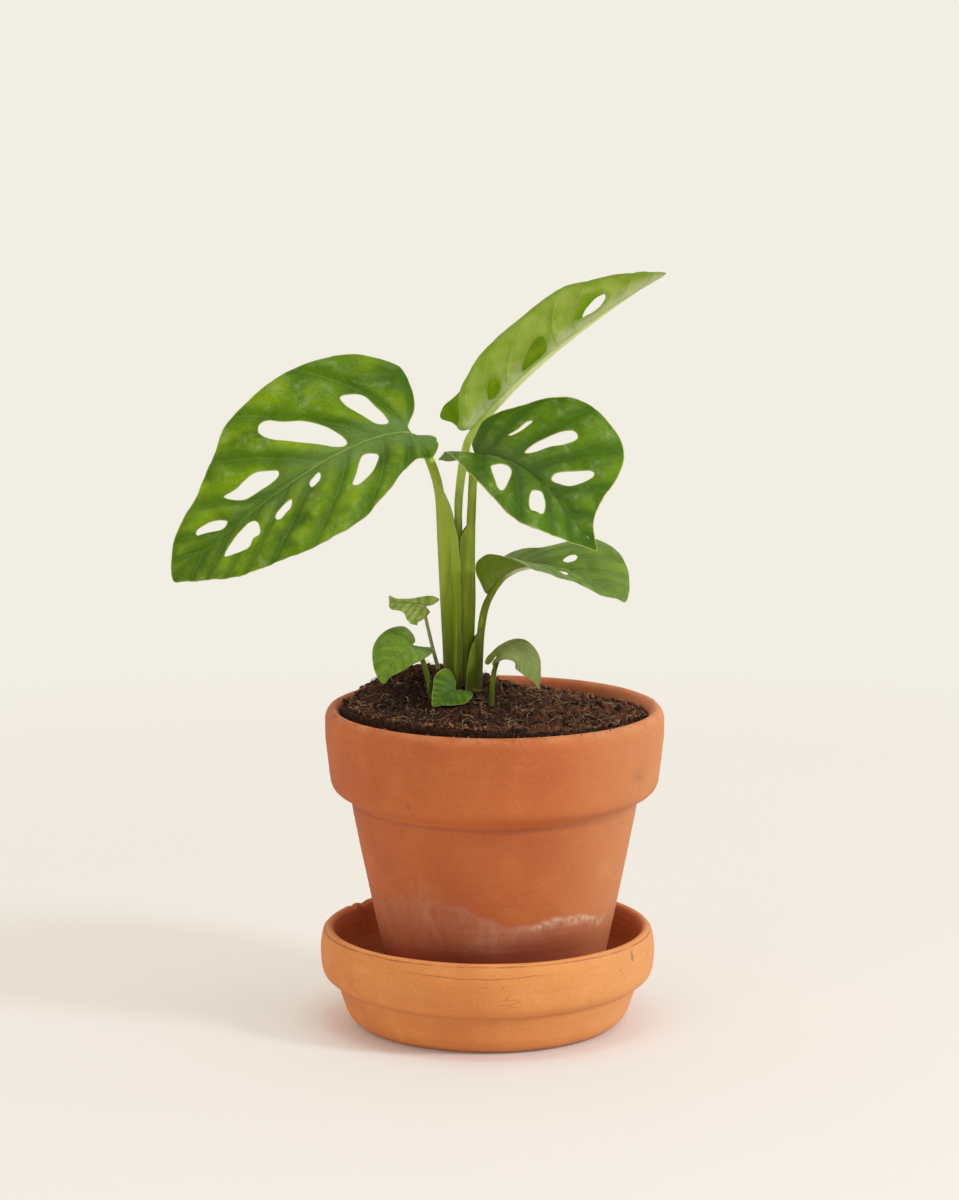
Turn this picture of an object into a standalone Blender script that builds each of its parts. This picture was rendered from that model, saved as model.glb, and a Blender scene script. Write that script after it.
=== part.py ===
import math

import bmesh
import bpy
import numpy as np
from mathutils.geometry import delaunay_2d_cdt

# Monstera adansonii in a terracotta pot on its saucer.
# All sizes are in millimetres; the world is in metres, +Z up, the front towards -Y.
MM = 0.001
GAP = 0.35
SECTORS = 48

# Saucer, turned about the world Z axis.
SAUCER_FOOT_R = 49.5
SAUCER_FLOOR_Z = 6.0
SAUCER_FLOOR_R = 47.0
SAUCER_BAND_R = 64.5
SAUCER_LIP_Z = 37.6
SAUCER_LIP_R = 61.1

# Pot, turned about its own axis a little to the right of the saucer's.
POT_X = 2.7
POT_FOOT_Z = SAUCER_FLOOR_Z + GAP
POT_FOOT_R = 38.8
POT_FLOOR_Z = 12.0
POT_RIM_Z = 123.2
POT_RIM_R = 65.0
POT_MOUTH_R = 58.9
DRAIN_R = 6.0

# Soil: level at the wall, a low side to the right and the back, two soft mounds.
SOIL_WALL_Z = 120.5
SOIL_TILT = 2.5
SOIL_LOW_SIDE = math.radians(45)
SOIL_MOUNDS = ((-10.0, 2.0, 20.0, 20.0, 4.2), (-24.0, 20.0, 40.0, 28.0, 12.5))

# The main stem comes out of an oval hole in the soil.
STEM_X = -9.2
STEM_HALF_X = 8.0
STEM_HALF_Y = 7.7
STEM_HOLE_Z = 96.0
STEM_FOOT_Z = 112.0
STALK_DEPTH = 8.0
SOIL_GAP = 0.5

BLADE_THICK = 0.7

GREEN = (0.10, 0.26, 0.03)
LIGHT_GREEN = (0.30, 0.42, 0.12)
STEM_GREEN = (0.24, 0.33, 0.05)


def for_scene(points):
    return [tuple(float(v) * MM for v in p) for p in points]


def material(name, color, roughness, metallic=0.0):
    mat = bpy.data.materials.new(name)
    mat.use_nodes = True
    shader = mat.node_tree.nodes["Principled BSDF"]
    shader.inputs["Base Color"].default_value = (*color, 1.0)
    shader.inputs["Roughness"].default_value = roughness
    shader.inputs["Metallic"].default_value = metallic
    return mat


def add_object(name, mesh, collection, color, roughness):
    obj = bpy.data.objects.new(name, mesh)
    collection.objects.link(obj)
    mesh.materials.append(material(name, color, roughness))
    mesh.shade_smooth()
    mesh.set_sharp_from_angle(angle=math.radians(40))
    return obj


# Turned pieces

# Points of an arc in the profile plane, angles in degrees from +R towards +Z.
def arc(center_r, center_z, radius, start, end, steps):
    angles = np.radians(np.linspace(start, end, steps))
    return [(center_r + radius * math.cos(t), center_z + radius * math.sin(t)) for t in angles]


def turned(name, profile, closed, at_x, collection, color, roughness):
    count = len(profile)
    edges = [(i, i + 1) for i in range(count - 1)]
    if closed:
        edges.append((count - 1, 0))
    mesh = bpy.data.meshes.new(name)
    mesh.from_pydata(for_scene((r, 0, z) for r, z in profile), edges, [])
    obj = add_object(name, mesh, collection, color, roughness)
    obj.location.x = at_x * MM
    screw = obj.modifiers.new("turn", "SCREW")
    screw.axis = "Z"
    screw.steps = SECTORS
    screw.render_steps = SECTORS
    screw.use_merge_vertices = True
    screw.merge_threshold = 0.00001
    screw.use_smooth_shade = True
    return obj


def saucer_profile():
    inside = [(0, SAUCER_FLOOR_Z), (SAUCER_FLOOR_R, SAUCER_FLOOR_Z), (50.5, 7.6), (53.0, 12.0)]
    inside += [(56.8, 17.0), (58.9, 24.0), (59.2, 34.0)]
    lip = arc(SAUCER_LIP_R, SAUCER_LIP_Z - 2.1, 2.1, 170, 30, 4)
    outside = [(63.9, 34.0), (SAUCER_BAND_R, 29.5), (64.3, 24.0), (63.7, 20.8), (62.5, 18.7)]
    outside += [(60.6, 17.3), (58.8, 15.9), (57.8, 14.2), (56.3, 10.2), (54.6, 5.0), (53.0, 2.4)]
    return inside + lip + outside + [(SAUCER_FOOT_R, 0), (0, 0)]


# The pot's inner wall, floor to mouth; the soil follows it with a gap.
POT_INSIDE = ((33.0, POT_FLOOR_Z), (36.5, 14.5), (49.0, 81.0), (50.6, 85.0), (56.2, 92.0), (57.3, 97.0),
              (POT_MOUTH_R, 119.5))


def pot_profile():
    rim = arc(POT_MOUTH_R + 3.1, POT_RIM_Z - 3.1, 3.1, 165, 20, 4)
    band = [(POT_RIM_R, 118.0), (64.9, 112.0), (64.1, 105.0), (63.3, 98.0), (62.8, 94.7)]
    under_band = [(61.9, 92.5), (60.2, 90.8), (57.5, 89.3), (55.6, 87.6), (54.9, 84.8)]
    wall = [(51.7, 69.3), (47.8, 50.3), (42.8, 26.0), (39.4, 8.6), (POT_FOOT_R, POT_FOOT_Z)]
    bottom = [(DRAIN_R, POT_FOOT_Z), (DRAIN_R, POT_FLOOR_Z)]
    return list(POT_INSIDE) + rim + band + under_band + wall + bottom


# Soil

# Height of the soil's surface over the saucer's underside.
def soil_height(x, y):
    dx = x - POT_X
    spread = np.hypot(dx, y) / POT_MOUTH_R
    level = SOIL_WALL_Z - SOIL_TILT * spread * np.cos(np.arctan2(y, dx) - SOIL_LOW_SIDE)
    for cx, cy, wide, deep, high in SOIL_MOUNDS:
        level = level + high * np.exp(-((x - cx) / wide) ** 2 - ((y - cy) / deep) ** 2) * (1 - spread**8)
    rough = 0.5 * np.sin(0.55 * x + 1.3) * np.cos(0.47 * y) + 0.35 * np.sin(0.9 * y - 0.4 * x)
    return level + rough * (1 - spread**4)


def soil_body(collection):
    angles = np.arange(SECTORS) * 2 * math.pi / SECTORS
    inner_radii = np.linspace(0, 1, 8)[1:] * (POT_MOUTH_R - SOIL_GAP)
    rings = []
    for r in inner_radii:
        x = POT_X + r * np.cos(angles)
        y = r * np.sin(angles)
        rings.append(np.column_stack([x, y, soil_height(x, y)]))
    wall = [(r - SOIL_GAP, z) for r, z in reversed(POT_INSIDE[1:-1])]
    wall.append((POT_INSIDE[0][0] - SOIL_GAP, POT_FLOOR_Z + GAP))
    for r, z in wall:
        rings.append(np.column_stack([POT_X + r * np.cos(angles), r * np.sin(angles), np.full(SECTORS, z)]))
    top = [POT_X, 0, float(soil_height(np.array(POT_X), np.array(0.0)))]
    points = [top] + [tuple(p) for ring in rings for p in ring]
    faces = []
    for i in range(SECTORS):
        j = (i + 1) % SECTORS
        faces.append((0, 1 + i, 1 + j))
        for k in range(len(rings) - 1):
            a = 1 + k * SECTORS
            b = a + SECTORS
            faces.append((a + i, b + i, b + j, a + j))
    faces.append(tuple(1 + (len(rings) - 1) * SECTORS + i for i in reversed(range(SECTORS))))
    mesh = bpy.data.meshes.new("soil")
    mesh.from_pydata(for_scene(points), [], faces)
    return add_object("soil", mesh, collection, (0.03, 0.017, 0.012), 0.95)


# An upright round or oval hole, as a live Boolean.
def drill(target, name, x, y, half_x, half_y, low, high, sides, cutters):
    bpy.ops.mesh.primitive_cylinder_add(vertices=sides, radius=MM, depth=(high - low) * MM,
                                        location=(x * MM, y * MM, (low + high) / 2 * MM))
    tool = bpy.context.object
    tool.name = name
    tool.scale = (half_x, half_y, 1)
    tool.hide_render = True
    tool.display_type = "WIRE"
    for owner in tool.users_collection:
        owner.objects.unlink(tool)
    cutters.objects.link(tool)
    cut = target.modifiers.new(name, "BOOLEAN")
    cut.operation = "DIFFERENCE"
    cut.object = tool


# Leaf blades

def unit(v):
    v = np.asarray(v, float)
    return v / np.linalg.norm(v, axis=-1, keepdims=True)


# A leaf surface: a runs along the midrib from the stalk's joint, c across it (left side
# positive, seen from the stalk with the upper side up). The midrib is a cubic curve, face
# turns the upper side from base to tip, fold lifts each half in degrees along its length.
class Blade:
    def __init__(self, rib, face, fold_left, fold_right):
        self.rib = np.asarray(rib, float)
        self.face = [unit(f) for f in face]
        self.folds = (fold_left, fold_right)
        self.steps = np.linspace(0, 1, 401)
        line = self.on_rib(self.steps)
        run = np.linalg.norm(np.diff(line, axis=0), axis=1)
        self.run = np.concatenate([[0], np.cumsum(run)])
        self.length = float(self.run[-1])

    def on_rib(self, t):
        t = np.asarray(t, float)[:, None]
        p, q, r, s = self.rib
        return (1 - t) ** 3 * p + 3 * (1 - t) ** 2 * t * q + 3 * (1 - t) * t**2 * r + t**3 * s

    def frame(self, a):
        inside = np.clip(a, 0, self.length)
        t = np.interp(inside, self.run, self.steps)
        p, q, r, s = self.rib
        u = t[:, None]
        along = unit((1 - u) ** 2 * (q - p) + 2 * (1 - u) * u * (r - q) + u**2 * (s - r))
        k = np.clip(a / self.length, 0, 1)[:, None]
        if len(self.face) == 2:
            up = self.face[0] * (1 - k) + self.face[1] * k
        else:
            up = self.face[0] * (1 - k) ** 2 + 2 * self.face[1] * (1 - k) * k + self.face[2] * k**2
        up = unit(up - (up * along).sum(1, keepdims=True) * along)
        point = self.on_rib(t) + along * (a - inside)[:, None]
        return point, along, up, np.cross(up, along)

    def at(self, a, c):
        a = np.atleast_1d(np.asarray(a, float))
        c = np.atleast_1d(np.asarray(c, float))
        point, _, up, left = self.frame(a)
        k = np.clip(a / self.length, 0, 1)
        sides = [np.interp(k, np.linspace(0, 1, len(f)), f) for f in self.folds]
        fold = np.radians(np.where(c >= 0, sides[0], sides[1]))
        return point + left * (c * np.cos(fold))[:, None] + up * (np.abs(c) * np.sin(fold))[:, None]

    # A point straight below the midrib.
    def under(self, a, depth):
        point, _, up, _ = self.frame(np.array([float(a)]))
        return (point - up * depth)[0]


# A closed Catmull-Rom curve through the corners, a point about every step.
def smooth_loop(corners, step):
    p = np.asarray(corners, float)
    line = []
    for i in range(len(p)):
        a, b, c, d = p[i - 1], p[i], p[(i + 1) % len(p)], p[(i + 2) % len(p)]
        count = max(1, round(float(np.linalg.norm(c - b)) / step))
        for t in np.arange(count) / count:
            line.append(0.5 * (2 * b + (c - a) * t + (2 * a - 5 * b + 4 * c - d) * t**2
                               + (3 * b - a - 3 * c + d) * t**3))
    return np.array(line)


# True for each point within the closed loop, by counting crossings.
def inside_loop(loop, points):
    hit = np.zeros(len(points), bool)
    for (x0, y0), (x1, y1) in zip(loop, np.roll(loop, -1, axis=0)):
        spans = (y0 > points[:, 1]) != (y1 > points[:, 1])
        if spans.any():
            cross = x0 + (points[:, 1] - y0) * (x1 - x0) / (y1 - y0 + 1e-12)
            hit ^= spans & (points[:, 0] < cross)
    return hit


# The blade's outline and holes are meshed flat, then laid on its surface and thickened.
def leaf(name, spec, collection, color):
    blade = spec["surface"]
    step = spec["step"]
    loops = [smooth_loop(spec["margin"], step)]
    loops += [smooth_loop(hole, step * 0.8) for hole in spec["holes"]]
    solid = np.vstack(loops)

    def free(points, clear):
        keep = inside_loop(loops[0], points)
        for loop in loops[1:]:
            keep &= ~inside_loop(loop, points)
        near = np.linalg.norm(points[:, None] - solid[None], axis=2).min(axis=1)
        return keep & (near > clear)

    spacing = spec["spacing"]
    rib = np.arange(0.5, blade.length, spacing * 0.7)
    rib = np.column_stack([rib, np.zeros(len(rib))])
    rib = rib[free(rib, step * 0.4)]
    rows = np.arange(solid[:, 1].min(), solid[:, 1].max(), spacing * 0.87)
    grid = [(a + (i % 2) * spacing / 2, c) for i, c in enumerate(rows)
            for a in np.arange(solid[:, 0].min(), solid[:, 0].max(), spacing)]
    grid = np.array(grid)
    grid = grid[free(grid, spacing * 0.45) & (np.abs(grid[:, 1]) > spacing * 0.4)]
    points = np.vstack([solid, rib, grid])

    edges = []
    first = 0
    for loop in loops:
        count = len(loop)
        edges += [(first + i, first + (i + 1) % count) for i in range(count)]
        first += count
    edges += [(first + i, first + i + 1) for i in range(len(rib) - 1)
              if rib[i + 1, 0] - rib[i, 0] < spacing]
    flat, _, faces, _, _, _ = delaunay_2d_cdt([tuple(p) for p in points], edges, [], 0, 1e-6)
    flat = np.array([tuple(v) for v in flat])
    faces = np.array(faces)
    middle = flat[faces].mean(axis=1)
    keep = inside_loop(loops[0], middle)
    for loop in loops[1:]:
        keep &= ~inside_loop(loop, middle)

    mesh = bpy.data.meshes.new(name)
    mesh.from_pydata(for_scene(blade.at(flat[:, 0], flat[:, 1])), [], faces[keep].tolist())
    work = bmesh.new()
    work.from_mesh(mesh)
    loose = [v for v in work.verts if not v.link_faces]
    bmesh.ops.delete(work, geom=loose, context="VERTS")
    bmesh.ops.recalc_face_normals(work, faces=work.faces)
    work.to_mesh(mesh)
    work.free()
    obj = add_object(name, mesh, collection, color, 0.38)
    shell = obj.modifiers.new("thickness", "SOLIDIFY")
    shell.thickness = BLADE_THICK * MM
    shell.offset = 0
    return obj


# Stalks: a round stalk widens downwards into a clasping sheath, an arc in section.
# A station is x, y, z of the core, the arc's bend radius, its half width along the arc,
# the core's half thickness, the wing's half thickness and the way the core faces, degrees.

def round_station(point, radius):
    return (*point, 8.0, radius, radius, radius, 0.0)


def sheath_station(x, y, z, bend, half, core, wing, heading):
    return (x, y, z, bend, half, core, wing, heading)


def section(station, along, count):
    x, y, z, bend, half, core, wing, heading = station
    turn = math.radians(heading)
    outward = np.array([math.cos(turn), math.sin(turn), 0])
    outward = unit(outward - (outward @ along) * along)
    across = np.cross(along, outward)
    t = np.arange(count) * 2 * math.pi / count
    swing = half / bend * np.cos(t)
    bulge = wing + (core - wing) * np.cos(np.cos(t) * math.pi / 2) ** 1.5
    radius = bend + bulge * np.sin(t)
    local = np.outer(radius * np.cos(swing) - bend, outward) + np.outer(radius * np.sin(swing), across)
    return np.array([x, y, z]) + local


def stalk(name, stations, rings, count, collection, color):
    s = np.array(stations, float)
    run = np.concatenate([[0], np.cumsum(np.linalg.norm(np.diff(s[:, :3], axis=0), axis=1))])
    where = np.unique(np.concatenate([run, np.linspace(0, run[-1], rings)]).round(1))
    where = where[np.concatenate([[True], np.diff(where) > 1.2])]
    where[-1] = run[-1]
    smooth = np.column_stack([np.interp(where, run, s[:, k]) for k in range(s.shape[1])])
    along = unit(np.gradient(smooth[:, :3], axis=0))
    along[0] = (0, 0, 1)
    loops = [section(row, way, count) for row, way in zip(smooth, along)]
    faces = []
    for k in range(len(loops) - 1):
        for i in range(count):
            j = (i + 1) % count
            faces.append((k * count + i, k * count + j, (k + 1) * count + j, (k + 1) * count + i))
    faces.append(tuple(reversed(range(count))))
    faces.append(tuple((len(loops) - 1) * count + i for i in range(count)))
    mesh = bpy.data.meshes.new(name)
    mesh.from_pydata(for_scene(np.vstack(loops)), [], faces)
    work = bmesh.new()
    work.from_mesh(mesh)
    bmesh.ops.recalc_face_normals(work, faces=work.faces)
    work.to_mesh(mesh)
    work.free()
    return add_object(name, mesh, collection, color, 0.45)


# Blade shapes, in millimetres on the flat leaf: the margin runs from the notch at the
# stalk along the left half to the tip and back along the right half.

LEAF_LEFT = {
    "surface": Blade([(-29.1, 4, 228.3), (-53.1, -6, 231.1), (-90.3, -20, 201.2), (-117.6, -34, 177.5)],
                     [(0, -0.70, 0.70), (-0.2, -0.70, 0.65)], (8, 10, 8), (8, 8, 5)),
    "step": 4.2, "spacing": 8.5,
    "margin": [(0.5, -1.5), (-3, 0.5), (-9, 0.5), (-10, 4.5), (-8.5, 9), (-5, 13.5), (0, 14.5), (6, 17.5),
               (15, 23), (25, 29), (37, 34), (48, 35.5), (59.5, 34.5), (70.5, 32), (80.5, 27.5), (90, 22.5),
               (98, 17), (102.5, 11), (106.5, 6), (110.8, 0.5), (102.5, -9.5), (97.5, -13.5),
               (90.5, -16.5), (81, -20), (71.5, -25.5), (64.5, -30), (57, -35.5), (48, -38), (36.5, -40),
               (27, -40.5), (18.5, -39.5), (11, -38), (6.5, -35.5), (1.5, -31), (-2, -26.5), (-4, -18.5),
               (-3.5, -11), (0, -4)],
    "holes": [
        [(18.8, -21.5), (14, -20.5), (11.5, -18), (10, -13.5), (8, -9), (7.5, -5), (9.5, -4.5), (12, -6),
         (14.5, -10), (18.5, -17)],
        [(47, -27.5), (43.5, -27), (40, -23.5), (33.5, -19), (28.5, -12.5), (25, -3.5), (27, -1.7),
         (30.5, -3.5), (34.5, -7.5), (41.5, -14), (47.5, -20.5), (49, -25)],
        [(74.5, -12), (70, -11.5), (61, -12), (57, -10.5), (53, -7), (56, -4.5), (66.5, -5), (71, -7)],
        [(90.5, -9), (86, -8.5), (82.5, -6.5), (80, -3.5), (83.5, -2.5), (87.5, -5), (91.5, -7.5)],
        [(34.5, 17), (30.5, 13.5), (26, 8.5), (22, 6), (17.5, 8.5), (23, 15), (29, 18), (33, 19)],
        [(47.5, 8), (46.5, 5), (41.5, 3.5), (43, 7)],
        [(66.5, 10), (64.5, 8), (57, 7), (59.5, 10.5), (65.5, 11.5)],
        [(91, 9), (86.5, 6), (75, 3.5), (72.5, 6), (75, 11), (78.5, 11), (82, 13), (86.5, 11.5)],
    ],
}

LEAF_RIGHT = {
    "surface": Blade([(-6.3, 0, 219.8), (11.7, -15, 225.4), (26.6, -44, 212.2), (40, -54, 191.7)],
                     [(-0.15, -0.72, 0.66), (0.25, -0.80, 0.55)], (22, 10, 6, 6, 6), (60, 26, 14, 10, 8)),
    "step": 4.0, "spacing": 8.0,
    "margin": [(1.2, 0.2), (0, 4.5), (1.5, 9), (3.5, 14), (7, 17.5), (10.5, 20.3), (13.5, 23.3), (16.5, 27.2),
               (20, 31), (23, 33.5), (27, 34.8), (31.5, 35.6), (38, 35), (45, 33.8), (50.5, 31), (54.5, 27.3),
               (58.5, 21.5), (62, 14.5), (66.5, 8), (70.5, 4.5), (75.5, 2.2), (80.2, 0), (77, -3.5),
               (72, -8.5), (67, -14), (62, -18), (57.5, -20.5), (51, -22), (41.5, -21.7), (32.5, -21),
               (20.5, -19.5), (12, -18.5), (4, -17), (-2, -14), (-7, -10.5), (-10.5, -7.5), (-12, -4.5),
               (-9, -2.5), (-3, -1.2)],
    "holes": [
        [(13.8, 9.3), (16, 12.8), (17.2, 17), (18.6, 17.8), (17.8, 13), (15, 9.5)],
        [(24.5, 5.5), (25, 10), (27, 14.5), (29.5, 19.5), (32.5, 23.2), (35.5, 22), (34.5, 17.5), (31.5, 13),
         (28.5, 8), (26, 5.5)],
        [(42.5, 4.5), (42.5, 7), (45.5, 11.5), (49.5, 16.5), (52, 16.5), (52.6, 13), (52, 8.5), (50, 5.5),
         (44.5, 3)],
        [(21.3, -9), (20.5, -7), (22.5, -3.5), (27.5, -4.3), (33, -8.5), (39, -15.5), (37, -16.5),
         (31, -14), (25.5, -11.5)],
        [(47.5, -9), (45.5, -6.5), (46.8, -4.3), (49, -4.3), (54, -6.5), (58.5, -10.5), (56.5, -12),
         (54.5, -13), (51, -11.5)],
    ],
}

LEAF_TOP = {
    "surface": Blade([(-6.7, 14, 227.8), (9.3, 15, 248.4), (36.9, 9, 271.2), (67.6, 3, 288.9)],
                     [(-0.70, 0.25, 0.62), (-0.55, 0.10, 0.80)], (58, 38, 30), (50, 48, 35)),
    "step": 4.0, "spacing": 8.0,
    "margin": [(0.8, 0), (-2, 4), (-2.5, 10.5), (-4, 16.5), (0, 19), (6, 18.5), (14, 19.5), (24, 21),
               (35, 22), (45.5, 22.5), (56.5, 22.5), (65, 21.5), (73.5, 18), (83.5, 13), (90.5, 7.5),
               (97, 0), (89.5, -9.5), (83.5, -14.5), (73.5, -19), (65, -22.5), (56.5, -23), (45.5, -21.5),
               (34, -21), (23.5, -20), (16.5, -18), (11, -16), (6.5, -13), (1, -7.5), (-2, -6), (-2, -3)],
    "holes": [
        [(59, -5), (61, -8.5), (66, -11), (69.5, -12), (73.5, -10.5), (74, -7.5), (71.5, -5), (67, -3.5)],
        [(30.5, -2), (35, -6), (40, -8.5), (44.5, -9.5), (45.5, -7), (44, -3.5), (41.5, -1.4), (35, -1.2)],
        [(13.5, -3), (16.5, -7), (20, -9), (22, -7), (21, -4), (18, -2), (14.5, -1.8)],
        [(60, 5), (62, 9), (68, 12), (73, 10.5), (73, 7), (69, 4.5), (64, 3.5)],
    ],
}

LEAF_LOW = {
    "surface": Blade([(0.5, 4, 166.7), (6.6, 0, 181.3), (28, -14, 185.8), (51.8, -26, 168)],
                     [(-0.75, 0, 0.65), (0.05, -0.25, 0.95), (0.45, -0.5, 0.75)],
                     (14, 14, 14, 12, 8), (60, 46, 20, 14, 8)),
    "step": 3.6, "spacing": 7.0,
    "margin": [(0.3, 0), (-2, 1.5), (-1, 7), (4, 11.5), (9, 12.8), (15, 11), (22.5, 10), (26.5, 11.2),
               (31, 14.6), (35, 18.4), (39.5, 20.8), (43.5, 21), (48.5, 20), (53.5, 17), (58, 13.5),
               (62, 8.5), (64.5, 4.5), (66.3, 0), (63, -3.5), (58, -8), (52, -11.5), (45, -14),
               (38, -15.5), (31, -16.5), (25, -17.3), (19, -17.5), (14, -17), (10, -15), (6, -10.5),
               (3, -6), (-0.5, -1.8)],
    "holes": [
        [(35.5, 3.6), (36, 6.5), (38, 8.4), (39.4, 7.5), (39.4, 5.2), (37.5, 3.5)],
        [(39.2, -6.3), (40.8, -5.2), (43.4, -7), (43.8, -9.2), (41.8, -9)],
    ],
}

SHOOT_LEFT = {
    "surface": Blade([(-27.7, -3, 146.6), (-33.3, -8, 147.9), (-37.8, -13, 141.9), (-39.5, -15, 134.6)],
                     [(0, -0.65, 0.75), (-0.2, -0.85, 0.50)], (6, 8, 6), (6, 8, 6)),
    "step": 3.0, "spacing": 5.0,
    "margin": [(0, -1.3), (-4, -0.6), (-9.5, -0.3), (-9, 1.5), (-5, 4.2), (0, 7), (4, 8.3), (8, 8.5),
               (13, 7), (16.5, 4.5), (19.5, 1.8), (22.4, 0), (20, -3.5), (15, -7.5), (10.5, -10),
               (4.5, -11), (-0.5, -10.2), (-2.5, -6.5), (-1.8, -3)],
    "holes": [],
}

SHOOT_BENT = {
    "surface": Blade([(-23.1, -3, 162.1), (-27.3, -4, 165), (-32.2, -6, 163.8), (-36.9, -8, 164.9)],
                     [(0.1, -0.85, 0.5), (0, -0.8, 0.6)], (-25, -25, -15), (25, 25, 40)),
    "step": 2.6, "spacing": 4.5,
    "margin": [(0.3, 0), (-2.2, 1), (-1.5, 4), (0, 6.8), (2.5, 8.2), (6.5, 8), (9, 5), (11, 3.2), (14, 3),
               (15.6, 2), (15.6, 0), (16, -2.6), (13, -1.8), (10, -1.6), (6, -1.8), (3, -3), (0, -5),
               (-2.4, -5), (-1.5, -2)],
    "holes": [],
}

SHOOT_FRONT = {
    "surface": Blade([(-11.7, -10.5, 131.8), (-14.3, -14, 132.1), (-17.7, -18, 130.1), (-20.7, -22, 127.3)],
                     [(0.1, -0.65, 0.75), (0, -0.75, 0.65)], (10, 8, 8), (24, 12, 8)),
    "step": 2.6, "spacing": 4.5,
    "margin": [(0.5, 0), (-2.5, 1.2), (-5.2, 2.6), (-4, 5), (0, 7.4), (5.5, 8.5), (9, 7), (12, 3.8),
               (15.3, 0), (12, -2.8), (8.5, -5.2), (6, -7.4), (3.5, -8.8), (1, -9.2), (-1.2, -7.6),
               (-1.6, -3.5)],
    "holes": [],
}

SHOOT_RIGHT = {
    "surface": Blade([(3.2, -11, 144.6), (7.3, -10, 149.4), (16.1, -8, 148.3), (19.5, -6, 130.9)],
                     [(-0.5, -0.30, 0.8), (0.25, -0.42, 0.85), (0.8, -0.5, 0.35)], (12, 8, 4), (5, -22, -8)),
    "step": 3.0, "spacing": 5.0,
    "margin": [(0.3, 0.2), (-4.2, 0.6), (-4.6, 3), (-2, 3.8), (1, 3.4), (4, 3.8), (6.5, 5), (9.5, 7),
               (12.5, 7.8), (17.5, 6.7), (20, 5.5), (22, 4.2), (24.5, 2.6), (27.3, 0), (24, -2),
               (21, -4), (17, -6), (13, -7.2), (9, -8.2), (5, -8.6), (2, -7.8), (-1, -5.8),
               (-3.4, -3.5), (-3, -1.5)],
    "holes": [],
}


def petiole_left():
    blade = LEAF_LEFT["surface"]
    low = [(-14.9, 0, STEM_FOOT_Z, 4.6, 6.5, 1.6), (-14.9, 0, 129.3, 4.6, 6.5, 1.6),
           (-15.6, 0, 148.8, 4.9, 7.0, 1.7), (-16.35, 0, 164.3, 5.2, 7.5, 1.75),
           (-17.05, 0, 179.7, 5.2, 8.4, 1.75), (-17.4, 0, 191.3, 5.2, 8.5, 1.8),
           (-17.8, 0.5, 198.9, 5.2, 7.3, 1.8), (-18.2, 1, 204.6, 5.2, 5.0, 1.8)]
    stations = [sheath_station(*row, 0.4, 180) for row in low]
    core = [((-19.3, 1.5, 210.3), 1.75), ((-20.5, 2, 214), 1.75), ((-21.9, 3, 217.7), 1.7),
            ((-24.2, 4.8, 222.1), 1.6), ((-26.9, 6.2, 225.2), 1.5)]
    stations += [(*p, 5.2, r, r, r, 180.0) for p, r in core]
    return stations + [(*blade.under(0.5, 1.72), 5.2, 1.2, 1.2, 1.2, 180.0)]


def petiole_top():
    blade = LEAF_TOP["surface"]
    core = [((-10.6, 0, STEM_FOOT_Z), 2.1), ((-10.6, 0, 129.3), 2.1), ((-11.1, 0, 164.3), 2.2),
            ((-11.2, 0, 180), 1.9), ((-11.2, 0.3, 188), 1.6), ((-11.2, 1.4, 196.5), 1.45),
            ((-11.1, 3, 202.4), 1.55), ((-10.5, 5.2, 208), 1.6), ((-9.8, 7.8, 213.5), 1.65),
            ((-8.8, 10.6, 218.6), 1.6), ((-7.8, 13, 223.4), 1.5)]
    return [round_station(p, r) for p, r in core] + [round_station(blade.under(0.5, 1.75), 1.2)]


def petiole_right():
    blade = LEAF_RIGHT["surface"]
    low = [(-6.6, 0, STEM_FOOT_Z, 3.6, 4.9, 1.4), (-6.6, 0, 129.3, 3.6, 4.9, 1.4),
           (-6.45, 0, 148.8, 4.0, 5.6, 1.45), (-6.15, 0, 164.3, 4.5, 6.5, 1.7),
           (-6.4, 0, 179.7, 4.5, 6.7, 1.7), (-6.3, 0, 190, 4.5, 6.5, 1.7),
           (-6.3, 0, 192.6, 4.5, 4.2, 1.7)]
    stations = [sheath_station(*row, 0.4, 0) for row in low]
    core = [((-6.25, 0, 195.1), 1.7), ((-5.9, 0.5, 202.7), 1.6), ((-5.6, 1, 210.3), 1.6),
            ((-5.4, 2, 214.8), 1.5)]
    stations += [(*p, 4.5, r, r, r, 0.0) for p, r in core]
    return stations + [(*blade.under(1.2, 1.6), 4.5, 1.2, 1.2, 1.2, 0.0)]


def petiole_low():
    blade = LEAF_LOW["surface"]
    low = [(-3.35, 0, STEM_FOOT_Z, 6.85, 9.4, 1.45), (-3.35, 0, 129.3, 6.85, 9.4, 1.45),
           (-3.3, 0, 137.1, 6.8, 8.8, 1.45), (-3.0, 0, 144.9, 6.8, 7.5, 1.45),
           (-2.8, 0, 149.5, 6.8, 6.3, 1.45)]
    stations = [sheath_station(*row, 0.38, 0) for row in low]
    core = [((-2.5, 0, 152.7), 1.42), ((-1.7, 1, 158.3), 1.4), ((-0.4, 2.5, 162.8), 1.35)]
    stations += [(*p, 6.8, r, r, r, 0.0) for p, r in core]
    stations.append((*blade.under(1.5, 1.95), 6.8, 1.15, 1.15, 1.15, 0.0))
    return stations + [(*blade.under(7.0, 1.7), 6.8, 0.9, 0.9, 0.9, 0.0)]


def shoot_stalk(blade, foot, bends, top_radius, foot_radius, drop):
    x, y, _ = foot
    ground = float(soil_height(np.array(x), np.array(y)))
    buried = (x, y, ground - STALK_DEPTH + GAP)
    stations = [round_station(buried, foot_radius), round_station((x, y, ground + 0.5), foot_radius)]
    count = len(bends) + 1
    for i, point in enumerate(bends):
        share = (i + 1) / count
        stations.append(round_station(point, foot_radius + (top_radius - foot_radius) * share))
    return stations + [round_station(blade.under(0.4, drop), top_radius)]


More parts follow.
